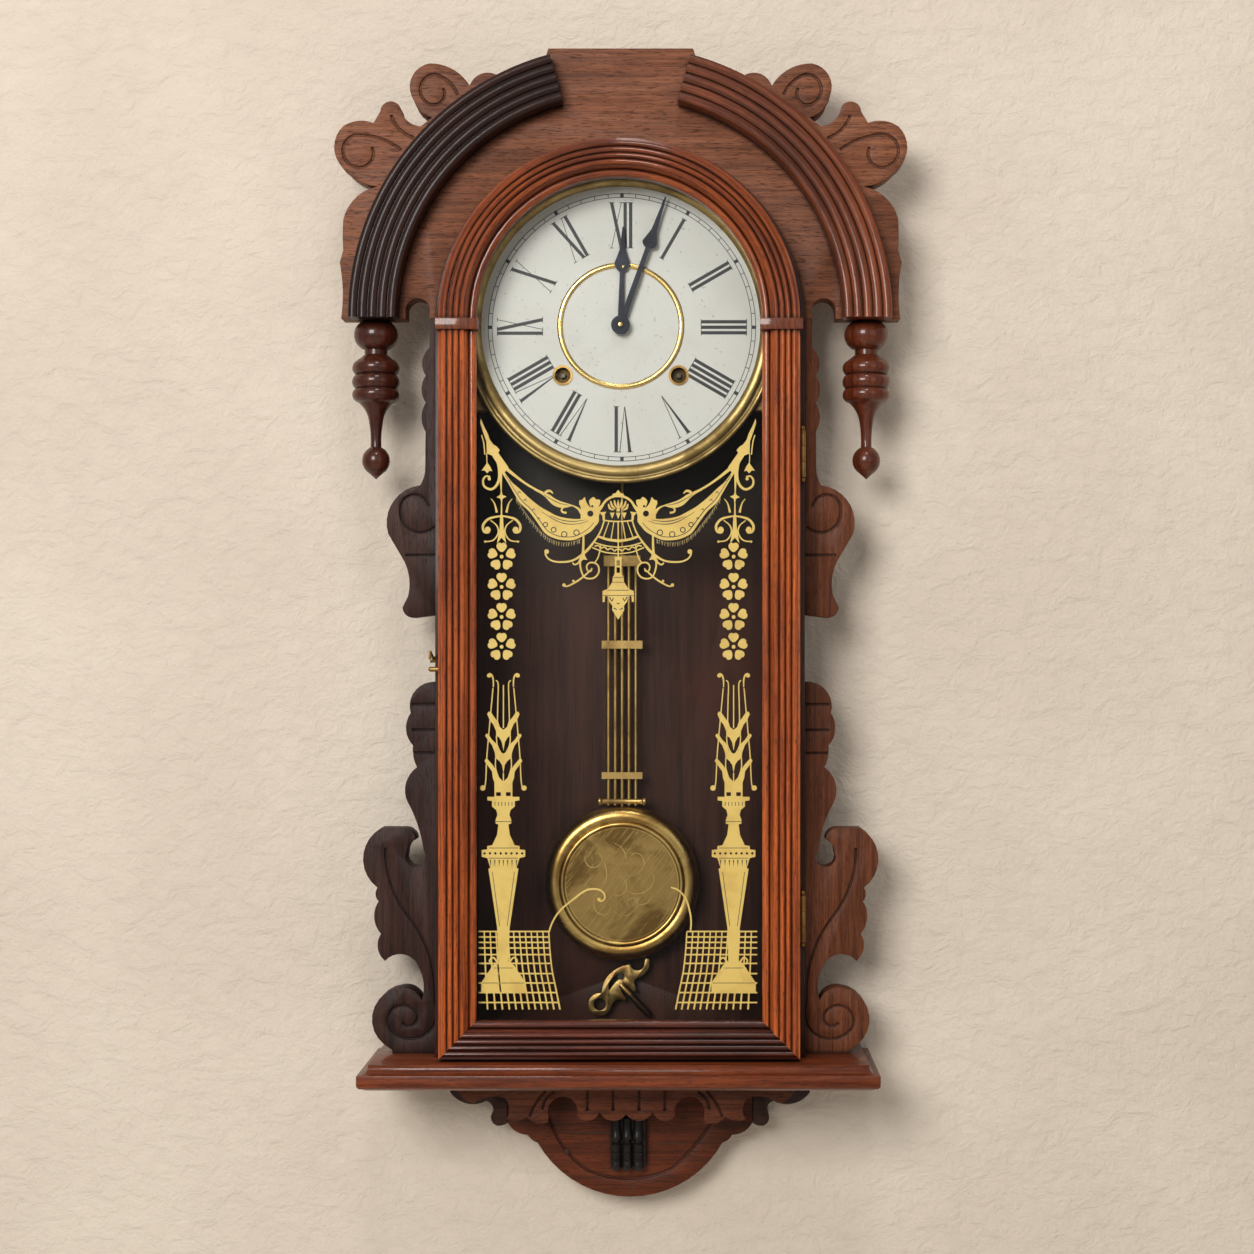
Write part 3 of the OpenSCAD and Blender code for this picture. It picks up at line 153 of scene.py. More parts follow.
class Finish:
    """A material put together from nodes."""

    def __init__(self, name):
        self.material = bpy.data.materials.new(name)
        self.material.use_nodes = True
        self.tree = self.material.node_tree
        self.tree.nodes.clear()

    def node(self, kind, inputs=None, **settings):
        made = self.tree.nodes.new("ShaderNode" + kind)
        for key, value in settings.items():
            setattr(made, key, value)
        for key, value in (inputs or {}).items():
            if isinstance(value, Value):
                self.tree.links.new(value.socket, made.inputs[key])
            else:
                made.inputs[key].default_value = value
        return made

    def out(self, kind, output=0, inputs=None, **settings):
        return Value(self, self.node(kind, inputs, **settings).outputs[output])

    def maths(self, operation, *values):
        return self.out("Math", 0, dict(enumerate(values)), operation=operation)

    def blend(self, factor, first, second):
        """A mix of two colours, each a Value or sRGB bytes."""
        first, second = (tone(*c) if isinstance(c, tuple) else c for c in (first, second))
        return self.out("Mix", 2, {0: factor, 6: first, 7: second}, data_type="RGBA")

    def level(self, value, low, high):
        """0 below low, 1 above high, and a soft step between them."""
        return self.out("MapRange", 0, {"Value": value, "From Min": low, "From Max": high},
                        interpolation_type="SMOOTHSTEP")

    def place(self):
        return self.out("TexCoord", 3)

    def stretch(self, place, scale=(1, 1, 1), seed=0.0):
        return self.out("Mapping", 0, {
            "Vector": place, "Location": (seed, seed * 1.7, seed * 0.6), "Scale": scale})

    def turned(self, place, angle):
        """The place turned about the way out of the wall."""
        return self.out("Mapping", 0, {"Vector": place, "Rotation": (0, angle, 0)})

    def noise(self, place, scale=1.0, detail=2.0, rough=0.5, distortion=0.0):
        return self.out("TexNoise", 0, {
            "Vector": place, "Scale": scale, "Detail": detail, "Roughness": rough,
            "Distortion": distortion})

    def split(self, place):
        cut = self.node("SeparateXYZ", {0: place})
        return [Value(self, socket) for socket in cut.outputs]

    def join(self, x, y, z):
        return self.out("CombineXYZ", 0, {0: x, 1: y, 2: z})

    def grain_place(self, along):
        """A place whose first number runs with the grain."""
        x, y, z = self.split(self.place())
        if along == "x":
            return self.join(x, z, y)
        if along in ARCS:
            middle, radius = ARCS[along]
            up = z - middle
            out = self.maths("SQRT", x * x + up * up)
            return self.join(self.maths("ARCTAN2", up, x) * radius, out, y)
        return self.join(z, x, y)

    def open_air(self, distance):
        """1 in the open and towards 0 in a recess."""
        return self.out("AmbientOcclusion", 1, {"Distance": distance}, samples=AIR_SAMPLES)

    def recess_shade(self, distance, clean, black):
        """Painted shade: 0 in the open and 1 deep in a recess."""
        return self.level(self.open_air(distance), clean, black)

    def bump(self, height, strength, distance):
        return self.out("Bump", 0, {"Height": height, "Strength": strength, "Distance": distance})

    def surface(self, **inputs):
        names = {key.replace("_", " "): value for key, value in inputs.items()}
        shader = self.node("BsdfPrincipled", names)
        self.end(Value(self, shader.outputs[0]))
        return self.material

    def end(self, shader):
        self.node("OutputMaterial", {0: shader})


def grain(f, place, bands, streaks, seed):
    """Bands, streaks and fibres with the grain; each scale is along it and across it."""
    kinds = [(bands, 3, 0.6, 0.6), (streaks, 4, 0.65, 0.0), ((40, 1200), 2, 0.6, 0.0)]
    return [f.noise(f.stretch(place, (along, across, across), seed + i), 1, *roughness)
            for i, ((along, across), *roughness) in enumerate(kinds)]


def wood(name, dark, light, deep, along, rough, coat, pore, seed, figure, relief):
    """Varnished walnut: bands, streaks and fibres along the grain, dark pores, and painted shade in its
    grooves.
    """
    f = Finish(name)
    place = f.grain_place(along)
    bands, streaks, fibres = grain(f, place, (2.2, 36), (9, 260), seed)
    pores = f.level(f.noise(f.stretch(place, (150, 1300, 1300), seed + 3), 1, 1), 0.58, 0.68)
    mix = bands * figure + streaks * (0.68 - figure) + fibres * 0.32
    colour = f.blend(f.level(mix, 0.36, 0.64), dark, light)
    patina = f.noise(f.stretch(place, (6, 14, 14), seed + 4), 1, 5, 0.65)
    colour = f.blend(f.level(patina, 0.42, 0.75) * 0.75, colour, deep)
    colour = f.blend(pores * pore, colour, (24, 13, 9))
    # Painted shade: darker brown in grooves and recesses that ambient occlusion finds, and a little
    # rougher there.
    recess_shade = f.recess_shade(0.004, 0.93, 0.5) * 0.75
    colour = f.blend(recess_shade, colour, (17, 9, 6))
    roughness = rough + (streaks - 0.5) * 0.3 + recess_shade * 0.25 + pores * 0.15
    height = streaks * 0.5 + fibres * 0.4 - pores * 0.8
    return f.surface(
        Base_Color=colour, Roughness=roughness, Specular_IOR_Level=0.2, Coat_Weight=coat,
        Coat_Roughness=0.1, Normal=f.bump(height, relief, 0.0004))


def metal(name, bright, dull, rough, patch, amount, corner_shade=0.6, seed=0, reach=0.003):
    """Old metal: clouds of tarnish, fine scratches and painted shade in its corners."""
    f = Finish(name)
    place = f.place()
    patches = f.noise(f.stretch(place, seed=seed), patch, 5, 0.62, 0.4)
    fine = f.noise(f.stretch(place, seed=seed + 2), patch * 16, 3, 0.6)
    spots = f.level(f.noise(f.stretch(place, seed=seed + 5), patch * 7, 2), 0.66, 0.72)
    stain = f.level(patches, 0.42, 0.68) * amount
    colour = f.blend(stain, bright, dull)
    colour = f.blend(spots * amount * 0.5, colour, (96, 66, 34))
    # Painted shade: darker towards the corners and recesses that ambient occlusion finds within the
    # reach.
    colour = f.blend((1 - f.open_air(reach)) * corner_shade, colour, (34, 24, 14))
    roughness = rough + stain * 0.2 + (fine - 0.5) * 0.14
    return f.surface(Base_Color=colour, Metallic=1.0, Roughness=roughness,
                     Normal=f.bump(fine + patches * 0.5, 0.15, 0.0002))


def paint(name, colour, stain, rough, patch=14, amount=0.4, speck=0.0):
    """A printed or painted face with clouds of age and fine specks."""
    f = Finish(name)
    place = f.place()
    cloud = f.noise(place, patch, 6, 0.65, 0.6)
    mixed = f.blend(f.level(cloud, 0.45, 0.75) * amount, colour, stain)
    specks = f.level(f.noise(place, 420, 1), 0.7, 0.74) * speck
    mixed = f.blend(specks, mixed, (110, 100, 90))
    return f.surface(Base_Color=mixed, Roughness=rough + (cloud - 0.5) * 0.2,
                     Normal=f.bump(cloud, 0.1, 0.0002))


def gilding(name, colour, worn, seed):
    """Bronze powder printed on glass: pale gold with rubbed specks."""
    f = Finish(name)
    place = f.place()
    cloud = f.noise(f.stretch(place, seed=seed), 60, 5, 0.6)
    fine = f.noise(f.stretch(place, seed=seed + 1), 900, 2, 0.6)
    mixed = f.blend(f.level(cloud, 0.45, 0.7) * 0.6, colour, worn)
    mixed = f.blend(f.level(fine, 0.6, 0.7) * 0.25, mixed, worn)
    return f.surface(Base_Color=mixed, Roughness=0.5 + (fine - 0.5) * 0.2)


def glass(name):
    """Thin window glass: clear straight on, with a faint gloss."""
    f = Finish(name)
    ripple = f.bump(f.noise(f.stretch(f.place(), (1, 1, 0.35)), 9, 2), 0.06, 0.004)
    clear = f.out("BsdfTransparent", 0, {"Color": (0.985, 0.99, 0.98, 1)})
    gloss = f.out("BsdfGlossy", 0, {"Color": (1, 1, 1, 1), "Roughness": 0.03, "Normal": ripple})
    amount = f.out("Fresnel", 0, {"IOR": 1.45, "Normal": ripple})
    f.end(f.out("MixShader", 0, {0: amount * 0.3, 1: clear, 2: gloss}))
    return f.material


def wall_finish():
    """Pale plaster that can be looked through from behind, so the back shows in other views."""
    f = Finish("pale_plaster")
    place = f.place()
    cloud = f.noise(place, 4, 4, 0.6)
    trowel = f.noise(f.stretch(place, (1, 1, 1.4)), 58, 7, 0.62, 0.8)
    fine = f.noise(place, 260, 3, 0.6)
    colour = f.blend(f.level(cloud, 0.35, 0.7), (214, 201, 186), (222, 210, 195))
    shader = f.node("BsdfPrincipled", {
        "Base Color": colour, "Roughness": 0.85,
        "Normal": f.bump(trowel + fine * 0.3, 0.7, 0.0038)})
    clear = f.out("BsdfTransparent")
    back = f.out("NewGeometry", 6)
    f.end(f.out("MixShader", 0, {0: back, 1: Value(f, shader.outputs[0]), 2: clear}))
    return f.material


# The stage, in metres: the wall's plane behind the case, how far it goes, and its opening's half
# width, foot and head
WALL_Y = 0.0012
WALL_REACH, WALL_FOOT, WALL_HEAD = 3.6, -3.8, 3.2
OPENING_HALF, OPENING_FOOT, OPENING_HEAD = 0.131, -0.655, -0.02
FLOOR_SIZE = 9
FLOOR_PLACE = (0, -3.4, -1.7)
WORLD_COLOUR = (1.0, 0.985, 0.965, 1)
WORLD_LEVEL = 0.25
SOFT_WHITE = (1.0, 0.98, 0.95)
# Place, aim, size, watts and colour
LAMPS = {
    "key_lamp": ((-1.0, -2.85, 0.65), (0, 0, -0.3), 1.2, 74, (1.0, 0.975, 0.94)),
    "fill_lamp": ((1.6, -2.4, 0.2), (0, 0, -0.35), 1.6, 5, SOFT_WHITE),
    "top_lamp": ((0.15, -1.5, 1.9), (0, 0, -0.35), 0.5, 12, SOFT_WHITE),
    "back_lamp": ((-0.7, 2.1, 0.3), (0, 0, -0.35), 1.0, 24, SOFT_WHITE),
}


def add_wall():
    """Four strips round an opening that the backboard hides, so its back is lit from behind."""
    strips = [
        (-WALL_REACH, WALL_FOOT, -OPENING_HALF, WALL_HEAD),
        (OPENING_HALF, WALL_FOOT, WALL_REACH, WALL_HEAD),
        (-OPENING_HALF, WALL_FOOT, OPENING_HALF, OPENING_FOOT),
        (-OPENING_HALF, OPENING_HEAD, OPENING_HALF, WALL_HEAD)]
    made = []
    for x0, z0, x1, z1 in strips:
        bpy.ops.mesh.primitive_plane_add(size=1, rotation=(math.pi / 2, 0, 0),
                                         location=((x0 + x1) / 2, WALL_Y, (z0 + z1) / 2))
        bpy.context.object.scale = (x1 - x0, z1 - z0, 1)
        made.append(bpy.context.object)
    select(*made)
    bpy.ops.object.transform_apply()
    bpy.ops.object.join()
    wall = bpy.context.object
    wall.name = "wall"
    wall.data.materials.append(wall_finish())
    return wall


def add_stage():
    wall = add_wall()
    bpy.ops.mesh.primitive_plane_add(size=FLOOR_SIZE, location=FLOOR_PLACE)
    floor = bpy.context.object
    floor.name = "floor"
    floor.data.materials.append(paint("pale_floor", (214, 208, 198), (205, 199, 189), 0.7))
    world = bpy.data.worlds.new("studio")
    world.use_nodes = True
    background = world.node_tree.nodes["Background"]
    background.inputs[0].default_value = WORLD_COLOUR
    background.inputs[1].default_value = WORLD_LEVEL
    scene.world = world
    for name, settings in LAMPS.items():
        add_lamp(name, *settings)
    scene.view_settings.view_transform = "Standard"


# Flat drawn ornament: rings of points are filled, and later rings of a shape are its holes

def smooth(points, steps=4):
    """A soft curve through a row of points."""
    ends = [points[0], *points, points[-1]]
    path = [points[0]]
    for a, b, c, d in zip(ends, ends[1:], ends[2:], ends[3:]):
        for i in range(1, steps + 1):
            t = i / steps
            path.append(tuple(
                0.5 * (2 * q + (r - p) * t + (2 * p - 5 * q + 4 * r - s) * t * t
                       + (3 * q - p - 3 * r + s) * t ** 3)
                for p, q, r, s in zip(a, b, c, d)))
    return path


def stroke(points, widths, steps=4):
    """The outline of a pen stroke whose width runs through the given widths."""
    path = smooth(points, steps) if len(points) > 2 else list(points)
    lengths = [0]
    for a, b in zip(path, path[1:]):
        lengths.append(lengths[-1] + math.dist(a, b))
    left, right = [], []
    for i, (x, y) in enumerate(path):
        before, after = path[max(i - 1, 0)], path[min(i + 1, len(path) - 1)]
        dx, dy = after[0] - before[0], after[1] - before[1]
        run = math.hypot(dx, dy) or 1
        share = lengths[i] / lengths[-1] * (len(widths) - 1)
        k = min(int(share), len(widths) - 2) if len(widths) > 1 else 0
        half = widths[0] / 2 if len(widths) == 1 else (
            widths[k] + (widths[k + 1] - widths[k]) * (share - k)) / 2
        left.append((x - dy / run * half, y + dx / run * half))
        right.append((x + dy / run * half, y - dx / run * half))
    return [left + right[::-1]]


def round_ring(x, y, r, sides=14):
    return [(x + r * math.cos(2 * math.pi * i / sides), y + r * math.sin(2 * math.pi * i / sides))
            for i in range(sides)]


def dot(x, y, r):
    return [round_ring(x, y, r)]


def hoop(x, y, r, width, sides=20):
    return [round_ring(x, y, r + width / 2, sides), round_ring(x, y, r - width / 2, sides)]


def bar(x0, y0, x1, y1):
    return [[(x0, y0), (x1, y0), (x1, y1), (x0, y1)]]


def mirror(shapes, axis):
    return [[[(2 * axis - x, y) for x, y in ring] for ring in shape] for shape in shapes]


def both(shapes, axis):
    return shapes + mirror(shapes, axis)


def halves(points, axis):
    """A closed outline from its right half, drawn from the top down."""
    return points + [(2 * axis - x, y) for x, y in reversed(points) if x != axis]


def shift(shapes, dx):
    return [[[(x + dx, y) for x, y in ring] for ring in shape] for shape in shapes]


def weld(reach):
    """Merges the points of the selected pieces that lie nearer than that, in metres."""
    bpy.ops.object.mode_set(mode="EDIT")
    bpy.ops.mesh.select_all(action="SELECT")
    bpy.ops.mesh.remove_doubles(threshold=reach)


# Shapes that cross lie a little behind each other, so that no two faces share a plane: the number
# of such layers, and the step between them in thin ink and in gold
LAYERS = 40
INK_LAYER, GOLD_LAYER = 0.0002, 0.002
# The plane that each kind of sheet is on, how far its front stands out of it, and its thickness
DIAL_SHEET = (DIAL_FACE, 0.05, 0.09)
GOLD_SHEET = (GLASS_BACK, -0.03, 0.08)
LINE_SHEET = (GLASS_BACK, -0.01, 0.015)
BOB_SHEET = (BOB_FACE, 0.02, 0.05)
BRACKET_SHEET = (BRACKET_FACE, 0.02, 0.05)
# Points this near to each other are one, in metres
SAME_CUT, SAME_NODE = 0.000001, 0.000002


def inlay(name, shapes, sheet, finish, body, layer=INK_LAYER, place=None):
    """A thin sheet cut to the shapes, which are in pixels unless a place says otherwise."""
    plane, rise, thick = sheet
    cuts = []
    for i, rings in enumerate(shapes):
        curve = bpy.data.curves.new(name, "CURVE")
        curve.dimensions = "2D"
        curve.fill_mode = "BOTH"
        curve.extrude = thick / 2 * MM
        for ring in rings:
            spline = curve.splines.new("POLY")
            spline.points.add(len(ring) - 1)
            for point, corner in zip(spline.points, ring):
                x, z = place(*corner) if place else spot(*corner, plane)
                point.co = (x * MM, z * MM, 0, 1)
            spline.use_cyclic_u = True
        cuts.append(bpy.data.objects.new(name, curve))
        cuts[-1].location.z = -(i % LAYERS) * layer * MM
        scene.collection.objects.link(cuts[-1])
    select(*cuts)
    bpy.ops.object.convert(target="MESH")
    weld(SAME_CUT)
    bpy.ops.mesh.normals_make_consistent(inside=False)
    bpy.ops.object.mode_set(mode="OBJECT")
    if len(cuts) > 1:
        bpy.ops.object.join()
    piece = bpy.context.object
    piece.name = name
    piece.rotation_euler = (math.pi / 2, 0, 0)
    piece.location = (0, -(plane + rise - thick / 2) * MM, 0)
    bpy.ops.object.transform_apply()
    piece.data.materials.clear()
    piece.data.materials.append(FINISHES[finish])
    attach(piece, body)


# The printed dial, in millimetres from its centre

INK_IN, INK_OUT = 58.5, 92
THICK, THIN = 2.5, 0.5
# The print sits a little right of the hub and below it
PRINT_X, PRINT_Z = 0.9, DIAL_Z - 0.9
STEM_PITCH = 4.06
V_WIDTH, X_WIDTH = 7.6, 7.2
V_ROOM, X_ROOM = 8.4, 8.8
TRACK_IN, TRACK_OUT = 95.8, 98.7
NUMERALS = ["XII", "I", "II", "III", "IIII", "V", "VI", "VII", "VIII", "IX", "X", "XI"]


def letter(kind, x):
    """One letter with its foot towards the dial's middle, and its serifs."""
    def serif(middle, y, half):
        return bar(middle - half, y - THIN / 2, middle + half, y + THIN / 2)

    def leg(head_left, head_right, foot_right, foot_left):
        return [[(x + head_left, INK_OUT), (x + head_right, INK_OUT),
                 (x + foot_right, INK_IN), (x + foot_left, INK_IN)]]

    if kind == "I":
        return [bar(x - THICK / 2, INK_IN, x + THICK / 2, INK_OUT),
                serif(x, INK_IN, 2.1), serif(x, INK_OUT, 2.1)]
    half = (V_WIDTH if kind == "V" else X_WIDTH) / 2
    heads = [serif(x - half, INK_OUT, 2.2), serif(x + half, INK_OUT, 1.5)]
    if kind == "V":
        return [leg(-half - THICK / 2, -half + THICK / 2, 0.3, -0.3),
                leg(half - THIN, half + THIN * 0.3, 0.35, -0.1), *heads]
    return [leg(-half - THICK / 2, -half + THICK / 2, half + THICK / 2, half - THICK / 2),
            leg(half - THIN / 2, half + THIN / 2, -half + THIN / 2, -half - THIN / 2),
            *heads, serif(x - half, INK_IN, 1.5), serif(x + half, INK_IN, 2.2)]


def numeral(hour):
    """The hour's letters side by side, turned to their place on the dial."""
    letters = NUMERALS[hour]
    room = {"I": STEM_PITCH, "V": V_ROOM, "X": X_ROOM}
    x = -sum(room[kind] for kind in letters) / 2
    shapes = []
    for kind in letters:
        shapes += letter(kind, x + room[kind] / 2)
        x += room[kind]
    return turned(shapes, hour * math.pi / 6)


def turned(shapes, angle):
    """Clockwise about the origin."""
    c, s = math.cos(angle), math.sin(angle)
    return [[[(x * c + y * s, y * c - x * s) for x, y in ring] for ring in shape]
            for shape in shapes]


def minute_track():
    shapes = [hoop(0, 0, TRACK_IN, 0.5, 180), hoop(0, 0, TRACK_OUT, 0.5, 180)]
    for minute in range(60):
        mark = bar(-0.26, TRACK_IN, 0.26, TRACK_OUT)
        if minute % 5 == 0:
            mark = bar(-1.3, TRACK_IN - 0.3, 1.3, TRACK_OUT + 0.3)
        shapes += turned([mark], minute * math.pi / 30)
    return shapes


def print_dial():
    shapes = minute_track()
    for hour in range(12):
        shapes += numeral(hour)
    inlay("dial_print", shapes, DIAL_SHEET, "ink", "case",
          place=lambda x, z: (x + PRINT_X, z + PRINT_Z))


# The gold transfer on the glass, in pixels of the photograph: its left half, then mirrored

AXIS = 618.2
# Middle line of the hanging column of flowers, and of the lyre under it
COLUMN = 501.6
LYRE = 503.4
# The right half was printed a little off the mirrored place of the left one
FLOWER_AXIS = AXIS - 0.6
NET_AXIS = AXIS - 0.4
LYRE_STEP = 2 * (AXIS - LYRE) + 0.6

SPEAR = [
    (480.8, 418.5), (484, 426.2), (488, 434.2), (489.5, 439.2), (493.1, 444.3), (496.8, 446.5),
    (499.8, 450.1), (498.2, 452.8), (503, 459.5), (508.5, 467.5), (504, 473.5), (499.8, 471.9),
    (496.8, 463.2), (492, 455.5), (486.8, 453.5), (486.4, 441.4), (483.3, 432.7), (480.2, 423)]
TULIP = [
    (487.3, 462.4), (484.5, 466.5), (481.5, 470.6), (484.6, 470.4), (487.2, 473.4), (489.6, 470.6),
    (492.3, 471.3), (490.3, 466.8)]
DIAMOND = [
    (501.4, 490), (502.6, 495), (506.6, 496.5), (502.6, 498.7), (501.7, 505.2), (500.4, 498.7),
    (496.5, 497.2), (499.9, 495)]
SIDE_CURL = [
    (493.9, 455.9), (498.2, 464.6), (499.4, 476.2), (496.8, 484.9), (491, 489.3), (484.4, 486.4),
    (483, 480.6), (485.9, 476.2), (490.2, 477)]
LEAF_CURL = [(491, 498.7), (494.6, 503.8), (496.8, 512.5)]
UPPER_C = [
    (501.1, 516), (493.9, 517.2), (487.3, 519.7), (483, 525.5), (483.9, 531.3), (488.2, 532.4),
    (490, 529.2)]
LOWER_S = [(490.5, 520.4), (496.3, 525), (498.4, 531), (496.5, 536.6), (492.4, 540.6), (485.4, 541.6)]
STEM_FOOT = [
    (500.2, 515), (503, 515), (503.6, 528), (506.3, 543.5), (501.6, 537.6), (496.9, 543.5),
    (499.6, 528)]
SWAG_TOP = [
    (500.4, 466), (510.5, 480.6), (518.5, 487.8), (530.1, 498.7), (540.3, 506.7), (549, 511.7),
    (557.7, 516.1), (567.8, 518.3), (576.5, 519), (585.2, 518.3), (595.4, 517.5), (598.3, 513.9)]
SWAG_FOOT = [
    (502.6, 474), (508.4, 483.5), (514.2, 493.6), (520, 503), (528.7, 511), (537.4, 522.6),
    (544.6, 532.8), (553.3, 537.8), (562, 540), (573.6, 540), (582.3, 536.4), (591, 531.3),
    (596.8, 524.1)]
SWAG_HEM = [
    (505.3, 475), (511.2, 484.5), (516.8, 493.4), (522.6, 501.5), (531, 509.2), (539.6, 520.4),
    (547, 530.2), (554.8, 534.8), (563, 536.8), (573, 536.6), (581, 533.4), (588.6, 528.4),
    (594, 522.6)]
SWAG_FOLDS = [
    [(541.7, 511.8), (556.2, 520.6), (567.8, 524), (579.4, 523.6), (588.1, 520.8)],
    [(550.4, 515.9), (562, 520.1), (573.6, 521.4), (585.2, 519.8)]]
SWAG_RINGS = [(564.2, 534.3, 2.7), (576.5, 532.6, 2.7), (553.6, 529.8, 2.4), (545.4, 524.6, 2.2)]
SWAG_MARKS = [(538.8, 518.6), (533.6, 509.8), (525.2, 500.3), (519.2, 492.6), (510.9, 480.9)]
FRINGE = [
    (516.3, 499.4), (524.3, 512.5), (533, 524), (543.2, 535.7), (554.8, 542.9), (567.8, 544.4),
    (581, 541)]
CORD = [(505.6, 468), (517.1, 477.3), (527.2, 484.5), (537.4, 490.3), (543, 492.6)]
RIBBON = [
    (536, 489), (545, 493), (549.6, 494.6), (553.5, 497.6), (560, 501), (570, 504.2), (579, 507.8),
    (583.4, 513.4), (580.6, 514.4), (577.6, 509.6), (572, 506.2), (566.4, 507.6), (560, 507.6),
    (553.5, 505.2), (549.4, 501.5), (545.2, 497), (539.6, 493), (534, 490)]
RIBBON_LINE = [(543.8, 494.8), (552, 499.6), (560, 503.4), (569, 505.2)]
CORD_HOOK = [(564.4, 506.4), (561.6, 509.4), (562.6, 512), (566.6, 512.8)]
KNOT = [(544.6, 494.6), (546.2, 491.8), (550, 490.9), (553, 493.6)]
PALM = [
    (579.1, 503.8), (579.5, 500.4), (582.3, 499.8), (584.5, 496.9), (585.6, 500), (587.6, 504.4),
    (591, 508), (590, 505.2), (589, 501), (591.6, 497.9), (594.1, 497), (596, 499.4), (599.9, 499.8),
    (600, 503.8), (598.3, 507.4), (602.8, 503.8), (604, 505.4), (600.6, 510.6), (598.8, 516.5),
    (598.8, 521.5), (594, 527), (590, 521.6), (586, 519.6), (580.6, 518.4), (581, 508.8)]
PALM_EYES = [(590.4, 513.6, 3.1), (592.3, 506.2, 1.2)]
DOME = [(599.2, 511), (601.4, 506.7), (606.2, 500.3), (612.2, 496.8), (618.2, 495.6)]
FINIAL = [
    (612.4, 497.2), (612.8, 493.6), (615.6, 493.2), (618.2, 489.8), (620.8, 493.2), (623.6, 493.6),
    (624, 497.2)]
SHELL_FAN = [
    [(613.6, 510), (609.8, 508.2), (608.4, 503.8)],
    [(615.2, 509), (612, 505.6), (610.6, 501)],
    [(616.6, 507.6), (615, 504), (614.4, 500)]]
SHELL_DROP = [(609.9, 512.6), (614.5, 512.6), (612.2, 518.8)]
CAP = [(599.6, 512.4), (606.4, 511.6), (604.8, 514.4), (605, 521), (602.8, 520.4), (602.4, 516)]
RIB_ARC = [(604.4, 520.4), (612.3, 521.3), (618.2, 521.5)]
RIBS = [[(609.1, 521.5), (603.5, 537)], [(613.9, 521.5), (611, 539)]]
HEAVY_ARC = [(597.4, 536.1), (607.3, 539.4), (618.2, 540.9)]
MIDDLE_ARC = [(594.8, 542.6), (606, 545.8), (618.2, 547.2)]
FOOT_ARC = [(592.3, 547.5), (604.8, 552.2), (618.2, 553.8)]
SCALLOPS = [
    [(594.6, 546.2), (598.4, 545.6), (600.8, 548.6)],
    [(601, 548.4), (604.6, 547), (607.4, 550)],
    [(607.6, 549.8), (611.2, 548.4), (614.4, 551.2)],
    [(614.6, 551.4), (616.2, 549.6), (618.2, 549.4)]]
LONG_S = [
    (604.1, 521), (601.6, 528.6), (598.5, 535), (592.3, 544), (584.8, 552.4), (572.3, 560.6),
    (557.3, 561.9), (548.5, 558.8), (544.9, 553.4)]
STRAP = [(584.3, 528), (583.5, 535), (583.3, 547.5), (582.4, 556)]
STRAP_LEAF = [(584.4, 550), (585, 556), (587.4, 560), (583.4, 559.4), (580.4, 562), (581.2, 555)]
STRAP_HOOK = [(581, 557), (578.6, 562.6), (574.6, 564.6), (572.6, 562.6)]
STEM_TO_RING = [(601, 544), (599.6, 552), (597.6, 558.4), (594.4, 563)]
RING = [
    (581, 557), (580.2, 566), (583.3, 575.8), (588.5, 578.6), (594.8, 577.4), (598.6, 572.4),
    (598.4, 566.4), (594.8, 563), (589.4, 562.8), (586.6, 566.6), (588, 571), (591, 571), (591.8, 568)]
TAIL = [(590.8, 570), (582.3, 577.5), (574.8, 582.6), (567.3, 586.2), (563.8, 585.4)]
LANTERN = [
    halves([(621.6, 557), (621.4, 573.6), (623.6, 577), (624, 582), (628.6, 588.8),
            (633.8, 591), (633.8, 602), (631.8, 602), (631.4, 596), (628.2, 596.2),
            (627.2, 601.4), (623.8, 606), (624.4, 609.8), (621, 615.2), (618.2, 619.6)], AXIS),
    [(616.5, 560.4), (619.9, 560.4), (619.9, 572.8), (616.5, 572.8)]]
LANTERN_BAR = (616, 565.6, 620.4, 567.4)
LANTERN_LINES = [[(603.2, 595.4), (633.2, 595.4)], [(612.4, 582.2), (624, 582.2)],
                 [(613.4, 577.4), (623, 577.4)], [(607.6, 590.2), (628.8, 590.2)]]
LANTERN_MARKS = [[(609.4, 597), (611.8, 601.4)], [(613.4, 598), (611.8, 601.4)],
                 [(613.6, 608), (616.8, 609.6)], [(616.8, 603), (618.2, 604)]]
FLOWER_Y = [556.6, 586.9, 617, 646.8]
PETAL = [
    (4.8, -1.2), (7.4, -3.9), (10.2, -5.2), (12.9, -4.2), (14, -1.9), (13.2, 0), (14, 1.9), (12.9, 4.2),
    (10.2, 5.2), (7.4, 3.9), (4.8, 1.2)]

